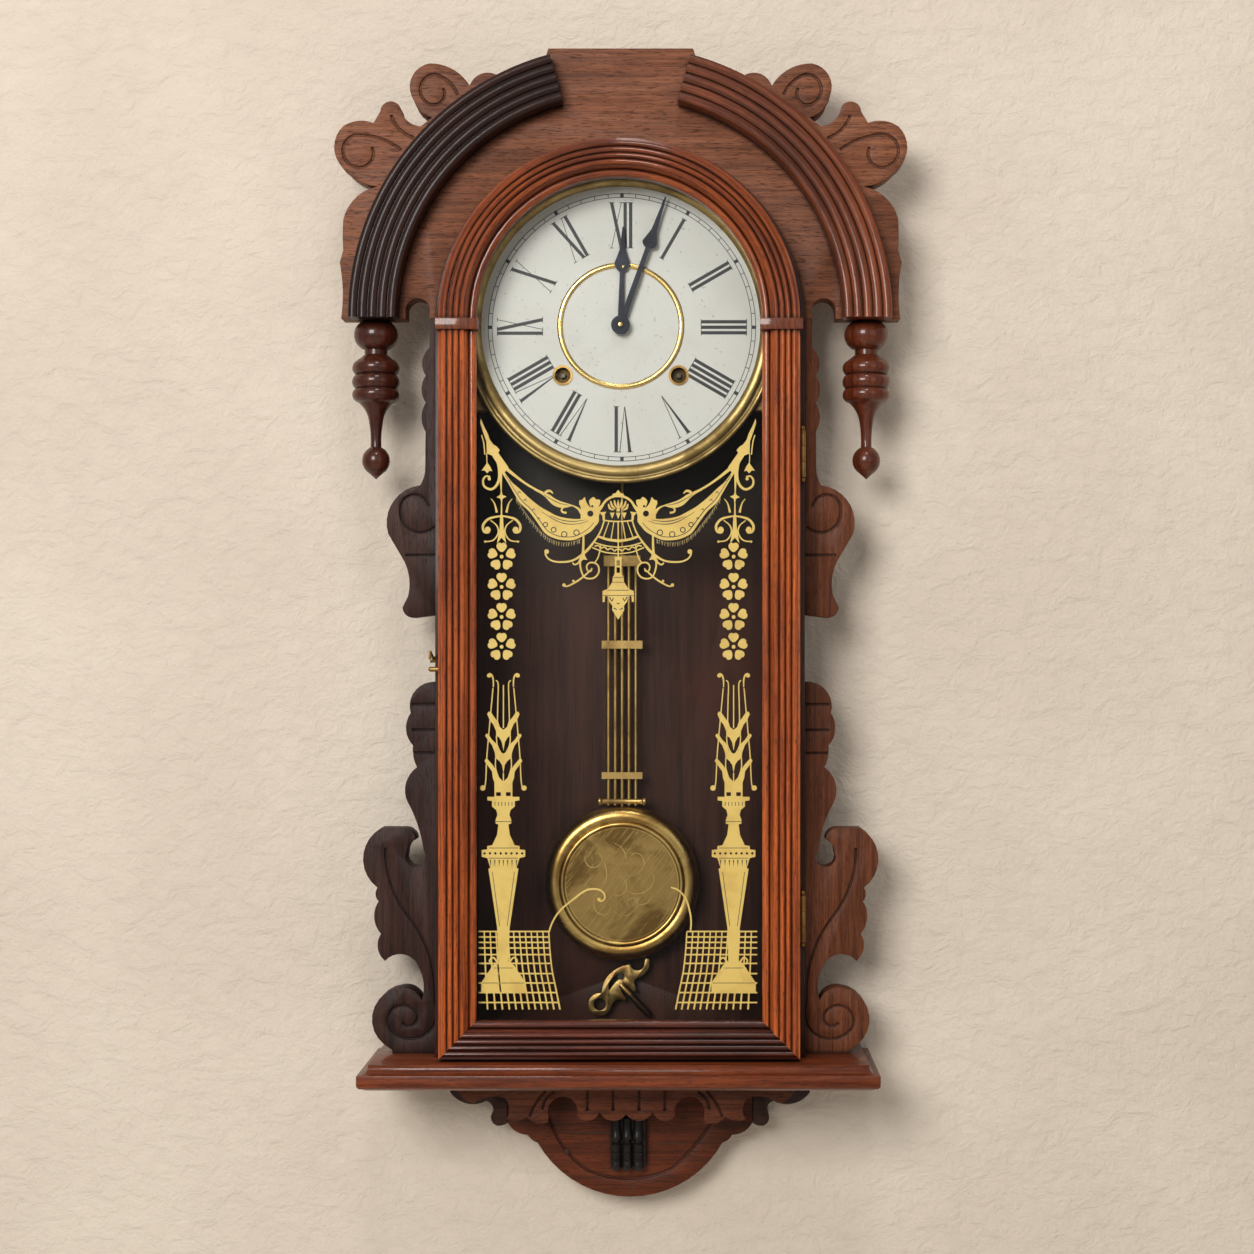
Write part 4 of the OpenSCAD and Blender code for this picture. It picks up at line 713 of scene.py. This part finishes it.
LYRE_TOP = [(493.4, 687), (493.2, 679.4), (491.6, 675), (489, 673.8)]
LYRE_STRINGS = [
    [(493, 688), (488.7, 735), (486.8, 757.5), (485.6, 782), (483.6, 789.6)],
    [(495.8, 680.4), (498.2, 684), (497.8, 702), (497.4, 722)]]
LYRE_MID = [(503.4, 685), (503.4, 728)]
LEAF_TIERS = [
    [(487.2, 714), (488.6, 711.6), (490.8, 712), (495, 718.2), (498.4, 722.2), (499.8, 727),
     (503.4, 729.8), (503.4, 751), (501.8, 742), (499.2, 737.4), (496.2, 735.8), (496, 731),
     (493.4, 724.6), (490, 720.6)],
    [(485.2, 735.8), (486.4, 733.6), (488.4, 734.2), (492, 739.8), (496.2, 743.6),
     (498.6, 750.6), (503.4, 753.8), (503.4, 773), (502, 765), (499.6, 761.2), (495.4, 757.8),
     (494.8, 752.5), (492.2, 745.4), (488.2, 740.4)],
    [(484.4, 761), (485.6, 758.8), (487.6, 759.2), (492.4, 764.6), (495.2, 768.6),
     (497.6, 775.8), (503.4, 782), (503.4, 790), (494.8, 790), (494.8, 783.4), (492.8, 778),
     (492, 771.4), (489, 767.2)]]
LEAF_LINES = [
    [(496.4, 736), (497.2, 745), (500.6, 752.4)],
    [(495.6, 757.6), (495.6, 768), (499, 779)],
    [(503.4, 773), (503.4, 784)]]
BASKET = [(494.4, 782), (512.4, 782), (512.4, 797), (494.4, 797)]
BASKET_GAPS = [(x, head, x + 4.6, foot) for head, foot in ((785.4, 789.8), (792.2, 796))
               for x in (496.2, 506)]
PILLAR = halves([
    (519.4, 796.8), (519.4, 800.3), (514.8, 801), (514.8, 806.5), (510.6, 810), (509.4, 815),
    (511.2, 819.6), (511.2, 823.6), (508.4, 824.4), (509.8, 835), (514.6, 845.2),
    (519.6, 846), (519.6, 849.4), (525.2, 850), (525.2, 856.8), (519.6, 858), (516.4, 868),
    (518.4, 868.8), (509.6, 928), (508.6, 962), (513.8, 965), (525.6, 982.8), (525.6, 992)],
    LYRE)
PILLAR_LINES = [
    [(493.4, 821.6), (513.4, 821.6)], [(482.4, 983), (524.4, 983)],
    [(492.4, 872), (499.6, 926)], [(514.4, 872), (507.2, 926)],
    [(489, 858.2), (518, 858.2)], [(489, 848), (518, 848)], [(494, 968), (512.8, 968)]]
BEAD_GAPS = [484.6 + 5.37 * i for i in range(8)]
BEAD_Y = 853.4
LEAF_MARKS_Y = 860
LEAF_MARKS = [490.4, 494.8, 499.2, 503.4, 507.6, 512, 516.4]
CAPITAL_MARKS = [495, 498.4, 501.8, 505.2, 508.6, 512]
FOOT_SCROLL = [(497.6, 963), (493.4, 957.6), (489.6, 960.4), (491.4, 964.4)]

NET_TOP_Y = 931.5
NET_ROWS = [931.5, 937, 942.4, 948, 954.6, 963.4, 973.6, 983, 992.6, 1002.5]
NET_FOOT_Y = 1009.5
NET_EDGE = [(548.7, 931.5), (549.7, 947.9), (551.8, 968.4), (555.9, 988.9), (560, 1009.5)]
NET_LEFT = 478.4
NET_STRINGS = 12
NET_SPREAD = 0.12
TENDRIL_LEFT = [
    (549, 932), (552, 923), (558, 913), (566, 905), (575, 898), (582, 892.6), (589, 889.4),
    (598, 889.4), (603.6, 893), (604.6, 898.6), (600.6, 901.4), (597.6, 899)]
TENDRIL_RIGHT = [(690.5, 932), (691, 919), (688, 904.5), (684, 896), (678, 890), (671, 887.4)]


def flower(x, y):
    """Five petals round a dot."""
    petal = [[(across, along) for along, across in smooth(PETAL + PETAL[:1], 3)[:-1]]]
    shapes = [dot(x, y, 1.9)]
    for i in range(5):
        [rings] = turned([petal], 2 * math.pi * i / 5)
        shapes.append([[(x + px, y - py) for px, py in ring] for ring in rings])
    return shapes


def swag():
    """The draped cloth with its cord, the bell flower and the curls beside it."""
    gold = [
        [SPEAR], [TULIP], stroke([(481.5, 434.9), (483.7, 442.9), (484.9, 454.5)], [1.2]),
        stroke([(486.7, 453), (486.9, 463)], [0.9]),
        stroke(SIDE_CURL, [1.5, 2.6, 2.6, 2.2, 1.6]), dot(489.3, 478.8, 1.6),
        stroke([(500.6, 470), (501.2, 492)], [3.4, 1.1]), [DIAMOND],
        stroke([(501.5, 503), (501.5, 517)], [1.1, 1.8]), [STEM_FOOT],
        [smooth(SWAG_TOP, 3) + smooth(SWAG_FOOT, 3)[::-1]], stroke(CORD, [3.4, 2.2, 2]),
        [smooth(RIBBON + RIBBON[:1], 3)[:-1]], stroke(CORD_HOOK, [1.4, 1.8, 2.2]),
        stroke(KNOT, [2.6, 2.6, 1]),
        [smooth(PALM + PALM[:1], 2)[:-1], *(round_ring(*eye) for eye in PALM_EYES)],
    ]
    for curl, widths in ((LEAF_CURL, [0.6, 1.5, 2.4]), (UPPER_C, [1.6, 2.4, 2.6, 2]),
                         (LOWER_S, [1, 1.5, 1.4, 1.2])):
        gold += both([stroke(curl, widths)], COLUMN)
    gold += both([dot(487.6, 529.4, 2.8), dot(485.2, 541.6, 1.2)], COLUMN)
    return gold


def swag_lines():
    lines = [stroke(SWAG_HEM, [0.5, 0.8, 0.8, 0.6]), stroke(RIBBON_LINE, [0.4, 0.9, 0.4])]
    lines += [stroke(fold, [0.4, 0.9, 0.4]) for fold in SWAG_FOLDS]
    lines += [hoop(x, y, r, 1) for x, y, r in SWAG_RINGS]
    lines += [stroke([(x - 1.6, y + 0.8), (x, y - 1), (x + 1.6, y + 0.6)], [0.4, 1, 0.4])
              for x, y in SWAG_MARKS]
    return lines


def fringe():
    """Short hanging threads along the lower edge of the cloth."""
    threads = []
    path = smooth(FRINGE, 8)
    for i, (x, y) in enumerate(path[:-1]):
        lean = 1.4 * math.sin(i * 2.1)
        threads.append(stroke([(x, y - 2.2), (x + lean, y + 1.8)], [0.45]))
    return threads


def shell():
    gold = [stroke(DOME, [1.6, 2.2, 2.4, 2.4]), stroke(RIB_ARC, [1.4]), [CAP],
            stroke(HEAVY_ARC, [2.2, 2.8]), stroke(MIDDLE_ARC, [1.3]), stroke(FOOT_ARC, [1.3])]
    gold += [stroke(rib, [0.9, 1.1]) for rib in RIBS]
    gold += [stroke(arc, [1.3]) for arc in SCALLOPS]
    gold += [stroke(leaf, [1.2, 2.3, 1.2]) for leaf in SHELL_FAN]
    gold += [[SHELL_DROP], stroke(LONG_S, [1.4, 1.6, 2.8, 2, 1.8, 1.5]), dot(546.6, 551.6, 2.4),
             stroke(STRAP, [1.2, 2.2, 2.4]), [STRAP_LEAF], stroke(STRAP_HOOK, [1.8, 1.8, 1.4]),
             stroke(STEM_TO_RING, [1.2]), stroke(RING, [1.8, 1.6, 1.7, 1.6, 1.4]),
             stroke(TAIL, [1.5, 1.9, 1.5]), dot(564, 585, 1.7), dot(573.4, 581, 1.3)]
    gold = both(gold, AXIS)
    gold += [[FINIAL], stroke([(AXIS, 521.9), (AXIS, 558)], [1.3]), LANTERN,
             bar(*LANTERN_BAR),
             [[(616.4, 511.4), (617.2, 503), (618.2, 499.4), (619.2, 503), (620, 511.4)]],
             [[(615.8, 512.6), (620.6, 512.6), (618.2, 519)]]]
    return gold


def lyre():
    """The torch-like lyre on its tapered pillar."""
    gold = [stroke(LYRE_TOP, [1.2, 1.5, 2]), dot(489, 675.5, 2.1),
            dot(482.8, 788, 2.7), stroke(FOOT_SCROLL, [1.8, 1.8, 1.4])]
    gold += [stroke(string, [1.2]) for string in LYRE_STRINGS]
    gold += [[tier] for tier in LEAF_TIERS] + [stroke(line, [1.2]) for line in LEAF_LINES]
    gold = both(gold, LYRE)
    beads = [round_ring(x, BEAD_Y, 1.25, 10) for x in BEAD_GAPS]
    gaps = [bar(*gap)[0] for gap in BASKET_GAPS]
    gold += [stroke(LYRE_MID, [1.2]), [BASKET, *gaps], [PILLAR, *beads]]
    return gold


def lyre_lines():
    lines = [stroke(line, [0.6]) for line in PILLAR_LINES]
    lines += [[[(x - 0.7, LEAF_MARKS_Y), (x + 0.7, LEAF_MARKS_Y), (x, LEAF_MARKS_Y + 7)]]
              for x in LEAF_MARKS]
    lines += [bar(x - 0.35, 802, x + 0.35, 805.8) for x in CAPITAL_MARKS]
    return lines


def net():
    """The fishing net behind the pillar, whose strings spread towards the foot."""
    edge = smooth(NET_EDGE, 5)

    def reach(y):
        for a, b in zip(edge, edge[1:]):
            if y <= b[1]:
                return a[0] + (b[0] - a[0]) * (y - a[1]) / (b[1] - a[1])
        return edge[-1][0]

    gold = [bar(NET_LEFT, y - 0.75, reach(y), y + 0.75) for y in NET_ROWS]
    for i in range(1, NET_STRINGS + 1):
        share = i / NET_STRINGS
        path = []
        for y in (NET_TOP_Y, 950, 970, 990, NET_FOOT_Y):
            fall = (y - NET_TOP_Y) / (NET_FOOT_Y - NET_TOP_Y)
            path.append((NET_LEFT + (reach(y) - NET_LEFT) * share ** (1 - NET_SPREAD * fall), y))
        gold.append(stroke(path, [1.3, 1.7], 3))
    return gold


def print_glass():
    """The transfer lies on the back of the pane, with its dark lines printed first."""
    gold = both(swag(), AXIS) + shell()
    for y in FLOWER_Y:
        gold += both(flower(COLUMN, y), FLOWER_AXIS)
    inlay("gold_garland", gold, GOLD_SHEET, "gold", "door", GOLD_LAYER)
    columns = lyre() + shift(lyre(), LYRE_STEP)
    columns += both(net(), NET_AXIS)
    columns += [stroke(TENDRIL_LEFT, [1.6, 1.8, 2, 1.4]), dot(599, 899.4, 1.8),
                stroke(TENDRIL_RIGHT, [1.6, 1.8, 1.6])]
    inlay("gold_lyres", columns, GOLD_SHEET, "gold", "door", GOLD_LAYER)
    inlay("gold_fringe", both(fringe(), AXIS), GOLD_SHEET, "gold_worn", "door")
    lines = both(swag_lines(), AXIS) + [stroke(line, [0.6]) for line in LANTERN_LINES]
    lines += both([stroke(mark, [1.2, 0.7]) for mark in LANTERN_MARKS], AXIS)
    lines += lyre_lines() + shift(lyre_lines(), LYRE_STEP)
    inlay("transfer_lines", lines, LINE_SHEET, "ink", "door")


# Marks on the bob and the bracket, in pixels of the photograph

BOB_MARKS = [
    [(584, 846), (577, 851), (575, 860), (580, 867), (588, 866), (592, 859), (588, 853),
     (582, 856), (583, 861)],
    [(592, 859), (596, 868), (596, 880), (590, 890)],
    [(604, 843), (612, 848), (616, 858), (612, 868), (618, 876), (627, 874)],
    [(627, 874), (634, 866), (632, 856), (625, 853), (620, 858), (624, 863)],
    [(600, 884), (606, 876), (615, 880), (616, 890), (608, 896), (600, 892)],
    [(616, 890), (626, 894), (638, 890), (644, 880), (641, 870)],
    [(590, 890), (584, 900), (586, 911), (595, 915), (601, 909), (597, 902), (591, 905)],
    [(601, 909), (611, 916), (622, 913), (628, 905), (624, 898), (617, 901), (619, 907)],
    [(628, 905), (637, 903), (642, 896)]]
# How far right of its photograph the bob hangs when the pendulum is plumb
BOB_SHIFT = 10
CRACKS = [[(560, 1131.5), (600, 1132.6), (652, 1131.6)], [(628, 1181), (633, 1186), (631, 1190)],
          [(655, 1143), (684, 1143.8)]]


# Fronts of the hub's pin and of the hour hand, and where a rivet and a plug show
HUB_FRONT = 69.4
HOUR_FACE = 63.6
RIVET_PX = (623, 266.5)
PLUG_PX = (567, 1152)


def engrave_bob():
    lines = shift([stroke(mark, [0.3, 0.9, 0.7, 0.3]) for mark in BOB_MARKS], BOB_SHIFT)
    inlay("bob_engraving", lines, BOB_SHEET, "scratched", "pendulum")


def mark_bracket():
    lines = [stroke(crack, [0.4, 1.1, 0.5]) for crack in CRACKS]
    inlay("bracket_cracks", lines, BRACKET_SHEET, "engraved", "case")


def peg(name, x, z, front, radius, length, finish, body, slot, sides=20, lip=0.25):
    """A small turned piece with a softened front edge, its axis out of the wall."""
    bpy.ops.mesh.primitive_cylinder_add(
        vertices=sides, radius=radius * MM, depth=length * MM, rotation=(math.pi / 2, 0, 0),
        location=(x * MM, -(front - length / 2) * MM, z * MM))
    piece = bpy.context.object
    piece.name = name
    bpy.ops.object.transform_apply()
    if lip:
        round_edges(piece, lip)
    finish_mesh(piece)
    piece.data.materials.append(FINISHES[finish])
    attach(piece, body)


# The way the key's pipe points (right, up), and how far along it the pipe leaves the wing
KEY_TURN = math.radians(43)
KEY_PIPE = (math.sin(KEY_TURN), -math.cos(KEY_TURN))
KEY_JOIN = 455
# Height under which the backboard is no longer green-black with painted shade under the dial, and over
# which it is so fully
GREEN_FROM, GREEN_FULL = -330, -240
# Radius of the bob's flat field inside its beads
BOB_FIELD = 42


def key_metal(name):
    """A brass wing on a dark iron pipe."""
    f = Finish(name)
    place = f.place()
    x, _, z = f.split(place)
    cloud = f.noise(place, 90, 5, 0.6)
    fine = f.noise(place, 700, 2)
    down = (x * KEY_PIPE[0] + z * KEY_PIPE[1]) * (1 / MM)
    iron = f.level(down, KEY_JOIN, KEY_JOIN + 1.5)
    colour = f.blend(f.level(cloud, 0.4, 0.65), (188, 158, 100), (128, 98, 56))
    colour = f.blend(iron, colour, (70, 56, 46))
    # Painted shade in the key's recesses.
    colour = f.blend(f.recess_shade(0.002, 0.9, 0.4) * 0.6, colour, (28, 20, 14))
    return f.surface(Base_Color=colour, Metallic=1.0, Roughness=0.36 + iron * 0.1,
                     Normal=f.bump(fine + cloud, 0.15, 0.0002))


def backboard_wood(name):
    """Dark stained walnut, green-black with painted shade under the dial and redder lower down."""
    f = Finish(name)
    x, y, z = f.split(f.place())
    place = f.join(z, x, y)
    bands, streaks, fibres = grain(f, place, (1.6, 24), (7, 200), 16)
    clouds = f.noise(f.stretch(place, (7, 9, 9), 19), 1, 4, 0.6)
    mix = bands * 0.3 + streaks * 0.4 + fibres * 0.3
    colour = f.blend(f.level(mix, 0.38, 0.62), (44, 26, 21), (70, 41, 33))
    colour = f.blend(f.level(clouds, 0.45, 0.7) * 0.6, colour, (84, 42, 32))
    # Painted shade: the backboard turns green-black from GREEN_FROM up to GREEN_FULL, under the dial.
    above = f.level(z + (clouds - 0.5) * 0.12, GREEN_FROM * MM, GREEN_FULL * MM)
    colour = f.blend(above * 0.85, colour, (30, 30, 25))
    # Painted shade deep inside the case, found by ambient occlusion.
    colour = f.blend(f.recess_shade(0.02, 0.9, 0.3) * 0.7, colour, (14, 9, 8))
    return f.surface(
        Base_Color=colour, Roughness=0.5 + (streaks - 0.5) * 0.2, Specular_IOR_Level=0.25,
        Normal=f.bump(streaks * 0.5 + fibres * 0.5, 0.15, 0.0004))


def bob_brass(name):
    """Thin spun brass: a bright rolled rim round a duller, rubbed face."""
    f = Finish(name)
    place = f.place()
    x, _, z = f.split(place)
    up = z - (DIAL_Z - BOB_DROP) * MM
    radius = f.maths("SQRT", x * x + up * up) * (1 / MM)
    rim = f.level(radius, BOB_FIELD - 0.4, BOB_FIELD + 0.4)
    clouds = f.noise(f.stretch(place, seed=3), 26, 5, 0.62, 0.8)
    rubbed = f.noise(f.stretch(f.turned(place, 0.9), (60, 40, 900), 4), 1, 3, 0.6)
    fine = f.noise(place, 900, 2)
    bright = f.blend(f.level(clouds, 0.42, 0.66), (222, 188, 116), (160, 124, 66))
    field = f.blend(f.level(clouds, 0.4, 0.62), (158, 130, 78), (104, 80, 42))
    field = f.blend(f.level(rubbed, 0.5, 0.72) * 0.5, field, (188, 160, 104))
    colour = f.blend(rim, field, bright)
    # Painted shade in the bob's beads and recesses.
    colour = f.blend(f.recess_shade(0.003, 0.92, 0.45) * 0.75, colour, (30, 22, 10))
    rough = 0.42 - rim * 0.12 + (clouds - 0.5) * 0.25
    return f.surface(Base_Color=colour, Metallic=1.0, Roughness=rough,
                     Normal=f.bump(clouds * 1.5 + rubbed * 0.2 + fine * 0.15, 0.35, 0.0006))


# Material's name, its dark, light and deep brown, then the grain's run, roughness, coat, pores,
# seed, figure and relief
WOODS = {
    "hood": ("hood_walnut", (94, 53, 34), (142, 88, 60), (74, 41, 28), "x", 0.5, 0, 0.55, 1, 0.16, 0.3),
    "moulding_dark": ("moulding_dark_walnut", (26, 9, 6), (50, 22, 14), (18, 8, 6),
        "hood_arc", 0.5, 0.2, 0.3, 2, 0.12, 0.2),
    "moulding_red": ("moulding_red_walnut", (84, 37, 18), (138, 70, 37), (54, 23, 12),
        "hood_arc", 0.45, 0.4, 0.3, 3, 0.12, 0.2),
    "wing_dark": ("wing_dark_walnut", (36, 20, 17), (66, 39, 32), (26, 14, 12),
        "z", 0.5, 0, 0.4, 4, 0.14, 0.2),
    "wing_red": ("wing_walnut", (76, 38, 21), (122, 69, 42), (54, 27, 16),
        "z", 0.5, 0, 0.4, 5, 0.14, 0.2),
    "turned_dark": ("turned_dark_walnut", (50, 20, 12), (88, 40, 24), (32, 13, 9),
        "z", 0.4, 0.5, 0.3, 6, 0.2, 0.2),
    "turned_red": ("turned_red_walnut", (68, 28, 14), (112, 53, 29), (44, 18, 10),
        "z", 0.4, 0.5, 0.3, 22, 0.2, 0.2),
    "stile": ("stile_varnished", (118, 47, 13), (198, 98, 38), (84, 32, 10),
        "z", 0.45, 0.6, 0.5, 7, 0.12, 0.12),
    "arch": ("arch_varnished", (100, 40, 12), (162, 78, 31), (66, 25, 9),
        "dial_arc", 0.45, 0.6, 0.5, 8, 0.12, 0.12),
    "rail": ("rail_varnished", (52, 16, 7), (98, 40, 20), (34, 11, 6),
        "x", 0.4, 0.5, 0.4, 9, 0.14, 0.12),
    "collar": ("collar_varnished", (78, 34, 17), (126, 64, 34), (44, 20, 11),
        "z", 0.45, 0.5, 0.5, 19, 0.14, 0.12),
    "shelf": ("shelf_varnished", (80, 31, 12), (130, 61, 28), (54, 21, 10),
        "x", 0.4, 0.4, 0.5, 10, 0.16, 0.15),
    "bracket": ("bracket_walnut", (62, 25, 10), (102, 47, 21), (42, 17, 8),
        "x", 0.5, 0.05, 0.5, 11, 0.16, 0.2),
    "apron": ("apron_walnut", (74, 34, 20), (116, 62, 37), (48, 23, 14),
        "x", 0.48, 0.05, 0.5, 18, 0.16, 0.2),
    # Painted shade: the ears are the bracket board's own wood, painted darker as if in shadow.
    "bracket_painted_shade": ("bracket_walnut_painted_shade", (40, 20, 15), (68, 38, 27), (28, 14, 11),
        "x", 0.42, 0.1, 0.5, 12, 0.16, 0.2),
    "ebony": ("ebonised", (22, 18, 17), (38, 33, 31), (14, 12, 12), "z", 0.32, 0.15, 0.3, 13, 0.2, 0.2),
    "case": ("case_walnut", (46, 25, 18), (76, 43, 31), (34, 18, 14),
        "z", 0.42, 0.1, 0.4, 14, 0.14, 0.2),
    "case_arch": ("case_bent_walnut", (52, 28, 20), (86, 50, 35), (36, 20, 15),
        "dial_arc", 0.42, 0.1, 0.4, 15, 0.14, 0.2),
    "bead": ("bead_varnished", (66, 31, 19), (108, 56, 34), (46, 22, 15),
        "z", 0.3, 0.4, 0.4, 20, 0.14, 0.2),
    "block": ("pine_block", (128, 92, 58), (168, 128, 84), (104, 72, 46),
        "x", 0.6, 0, 0.4, 17, 0.2, 0.2),
    "plug": ("plug_walnut", (50, 26, 17), (80, 44, 29), (36, 19, 13), "z", 0.5, 0, 0.4, 21, 0.2, 0.2),
}

FINISHES = {key: wood(*row) for key, row in WOODS.items()}
FINISHES.update({
    "back": backboard_wood("back_dark"),
    "dial": paint("dial_enamelled", (208, 208, 205), (190, 187, 180), 0.4, 11, 0.6, 0.4),
    "ink": paint("ink_black", (38, 38, 43), (58, 56, 58), 0.5, 60, 0.6),
    "gold": gilding("gold_transfer", (226, 195, 108), (204, 165, 82), 1),
    "gold_worn": gilding("gold_threads", (196, 172, 110), (140, 116, 70), 2),
    "engraved": paint("engraved_line", (50, 28, 16), (72, 42, 24), 0.5, 120, 0.7),
    "scratched": metal("scratched_brass", (196, 166, 104), (120, 94, 50), 0.4, 60, 0.8),
    "brass": metal("brass_aged", (222, 188, 118), (160, 124, 68), 0.32, 24, 0.8),
    "bezel": metal("brass_bezel", (178, 154, 103), (128, 104, 61), 0.42, 34, 0.9, seed=7),
    "bob": bob_brass("brass_bob"),
    "brass_bright": metal("brass_bright", (236, 204, 134), (190, 154, 88), 0.24, 34, 0.6),
    "brass_dull": metal("brass_dull", (172, 138, 82), (112, 84, 48), 0.36, 30, 0.8),
    "rods": metal("rods_brass", (178, 148, 92), (124, 98, 58), 0.4, 40, 0.8, seed=9),
    # Painted shade: the front plate, seen only through the winding holes, is brass painted dark, with
    # strong darkening in its recesses.
    "shadowed": metal("plate_shadowed", (110, 88, 52), (66, 52, 32), 0.4, 24, 0.8,
        corner_shade=0.95, reach=0.02),
    "steel": metal("steel_grey", (170, 170, 168), (110, 104, 98), 0.34, 30, 0.5),
    # Painted shade: the winding arbors are steel painted dark, as they look deep in the winding holes,
    # with strong darkening in their recesses.
    "arbor": metal("arbor_steel_painted_shade", (96, 90, 82), (60, 54, 48), 0.36, 30, 0.6, corner_shade=0.95, reach=0.02),
    "iron": metal("iron_dark", (84, 80, 76), (52, 46, 42), 0.5, 30, 0.6),
    "spring": metal("spring_blued", (96, 102, 116), (62, 60, 64), 0.3, 30, 0.5),
    "blued": metal("hands_blued", (46, 48, 54), (30, 31, 35), 0.34, 30, 0.5),
    "key": key_metal("key_metals"),
    "glass": glass("window_glass"),
})

# The nodes that each finish covers
COVERS = {
    "back": "backboard",
    "case": "case_side_left case_side_right",
    "case_arch": "case_top_arch",
    "shelf": "base_shelf",
    "hood": "hood_board",
    "moulding_dark": "hood_moulding_left",
    "moulding_red": "hood_moulding_right",
    "wing_dark": "upper_wing_left lower_wing_left",
    "wing_red": "upper_wing_right lower_wing_right",
    "turned_dark": "pendant_left",
    "turned_red": "pendant_right",
    "bracket": "bracket_board",
    "bracket_painted_shade": "bracket_ears",
    "apron": "bracket_apron",
    "ebony": "bracket_corbel",
    "steel": "wall_hanger hanger_screws pallet_anchor strike_hammer",
    "block": "dial_blocks",
    "dial": "dial_plate",
    "bezel": "dial_bezel",
    "brass_bright": "dial_center_ring",
    "brass_dull": "winding_grommets hinge_leaves_case latch_screw hinge_leaves_door latch_peg "
                  "latch_hook",
    "iron": "movement_feet gong_block key_nail",
    "brass": "back_plate plate_pillars suspension_cock rating_nut escape_wheel third_wheel "
             "center_wheel minute_wheel",
    "shadowed": "front_plate",
    "spring": "mainsprings gong_coil",
    "stile": "door_stile_left door_stile_right",
    "arch": "door_arch",
    "rail": "door_bottom_rail",
    "collar": "door_collars",
    "glass": "door_glass",
    "bead": "glass_beads",
    "rods": "pendulum_rods",
    "bob": "pendulum_bob",
    "blued": "minute_hand hour_hand",
    "arbor": "winding_arbor_time winding_arbor_strike",
    "key": "winding_key",
}
FINISH_OF = {node: finish for finish, nodes in COVERS.items() for node in nodes.split()}

# Rounding of the edges in millimetres, and the nodes that a finished copy stands for
ROUNDED = [
    (1.3, "hood_board"),
    (1.1, "upper_wing_left upper_wing_right lower_wing_left lower_wing_right"),
    (1.2, "bracket_board bracket_ears"),
    (1, "bracket_apron"),
    (0.5, "base_shelf"),
    (1.3, "door_collars"),
    (0.8, "case_side_left case_side_right case_top_arch"),
    (0.6, "backboard"),
    (0.4, "winding_key"),
    (0.12, "minute_hand hour_hand"),
    (0, "bracket_corbel hood_moulding_left hood_moulding_right pendant_left pendant_right "
        "door_stile_left door_stile_right door_arch door_bottom_rail dial_bezel "
        "dial_center_ring winding_grommets pendulum_rods pendulum_bob rating_nut"),
    (0.15, "hinge_leaves_case hinge_leaves_door"),
    (0, "latch_hook latch_peg latch_screw key_nail strike_hammer gong_coil"),
]

record = frame["record"]
BODY_OF = {node: body for body, nodes in record["behaviour"]["bodies"].items() for node in nodes}


# Edges flatter than the first angle are shaded smooth; sharper than the second, rounded; flatter
# than the third, dissolved
SMOOTH_TO, ROUND_FROM, FLAT_TO = (math.radians(angle) for angle in (32, 38, 0.3))


def finish_mesh(piece):
    select(piece)
    bpy.ops.object.shade_smooth_by_angle(angle=SMOOTH_TO)


def round_edges(piece, width):
    select(piece)
    bevel = piece.modifiers.new("round", "BEVEL")
    bevel.width = width * MM
    bevel.segments = 2
    bevel.limit_method = "ANGLE"
    bevel.angle_limit = ROUND_FROM
    bevel.use_clamp_overlap = True
    bpy.ops.object.modifier_apply(modifier="round")


def dress(node, edge):
    """A copy of a node with merged points, rounded edges and soft shading stands for it."""
    mesh = frame["nodes"][node].data.copy()
    piece = bpy.data.objects.new(node + "_finished", mesh)
    scene.collection.objects.link(piece)
    select(piece)
    mesh.materials.clear()
    mesh.materials.append(FINISHES[FINISH_OF[node]])
    bpy.ops.mesh.customdata_custom_splitnormals_clear()
    weld(SAME_NODE)
    bpy.ops.mesh.dissolve_limited(angle_limit=FLAT_TO)
    bpy.ops.object.mode_set(mode="OBJECT")
    if edge:
        round_edges(piece, edge)
    finish_mesh(piece)
    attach(piece, BODY_OF[node])
    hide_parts(node)


add_camera()
add_stage()
for node, obj in frame["nodes"].items():
    obj.data.materials.clear()
    obj.data.materials.append(FINISHES[FINISH_OF[node]])
for edge, nodes in ROUNDED:
    for node in nodes.split():
        dress(node, edge)
print_dial()
print_glass()
engrave_bob()
mark_bracket()
peg("hub_pin", 0, DIAL_Z, HUB_FRONT, 1.7, 4.5, "brass_bright", "minute", "brass")
peg("hour_rivet", *spot(*RIVET_PX, HOUR_FACE), HOUR_FACE + 0.3, 0.75, 1,
    "brass_bright", "hour", "brass", 12, 0)
peg("bracket_plug_low", *spot(*PLUG_PX, BRACKET_FACE), BRACKET_FACE + 0.3, 2.4, 2,
    "plug", "case", "wood_mid", 12, 0.1)
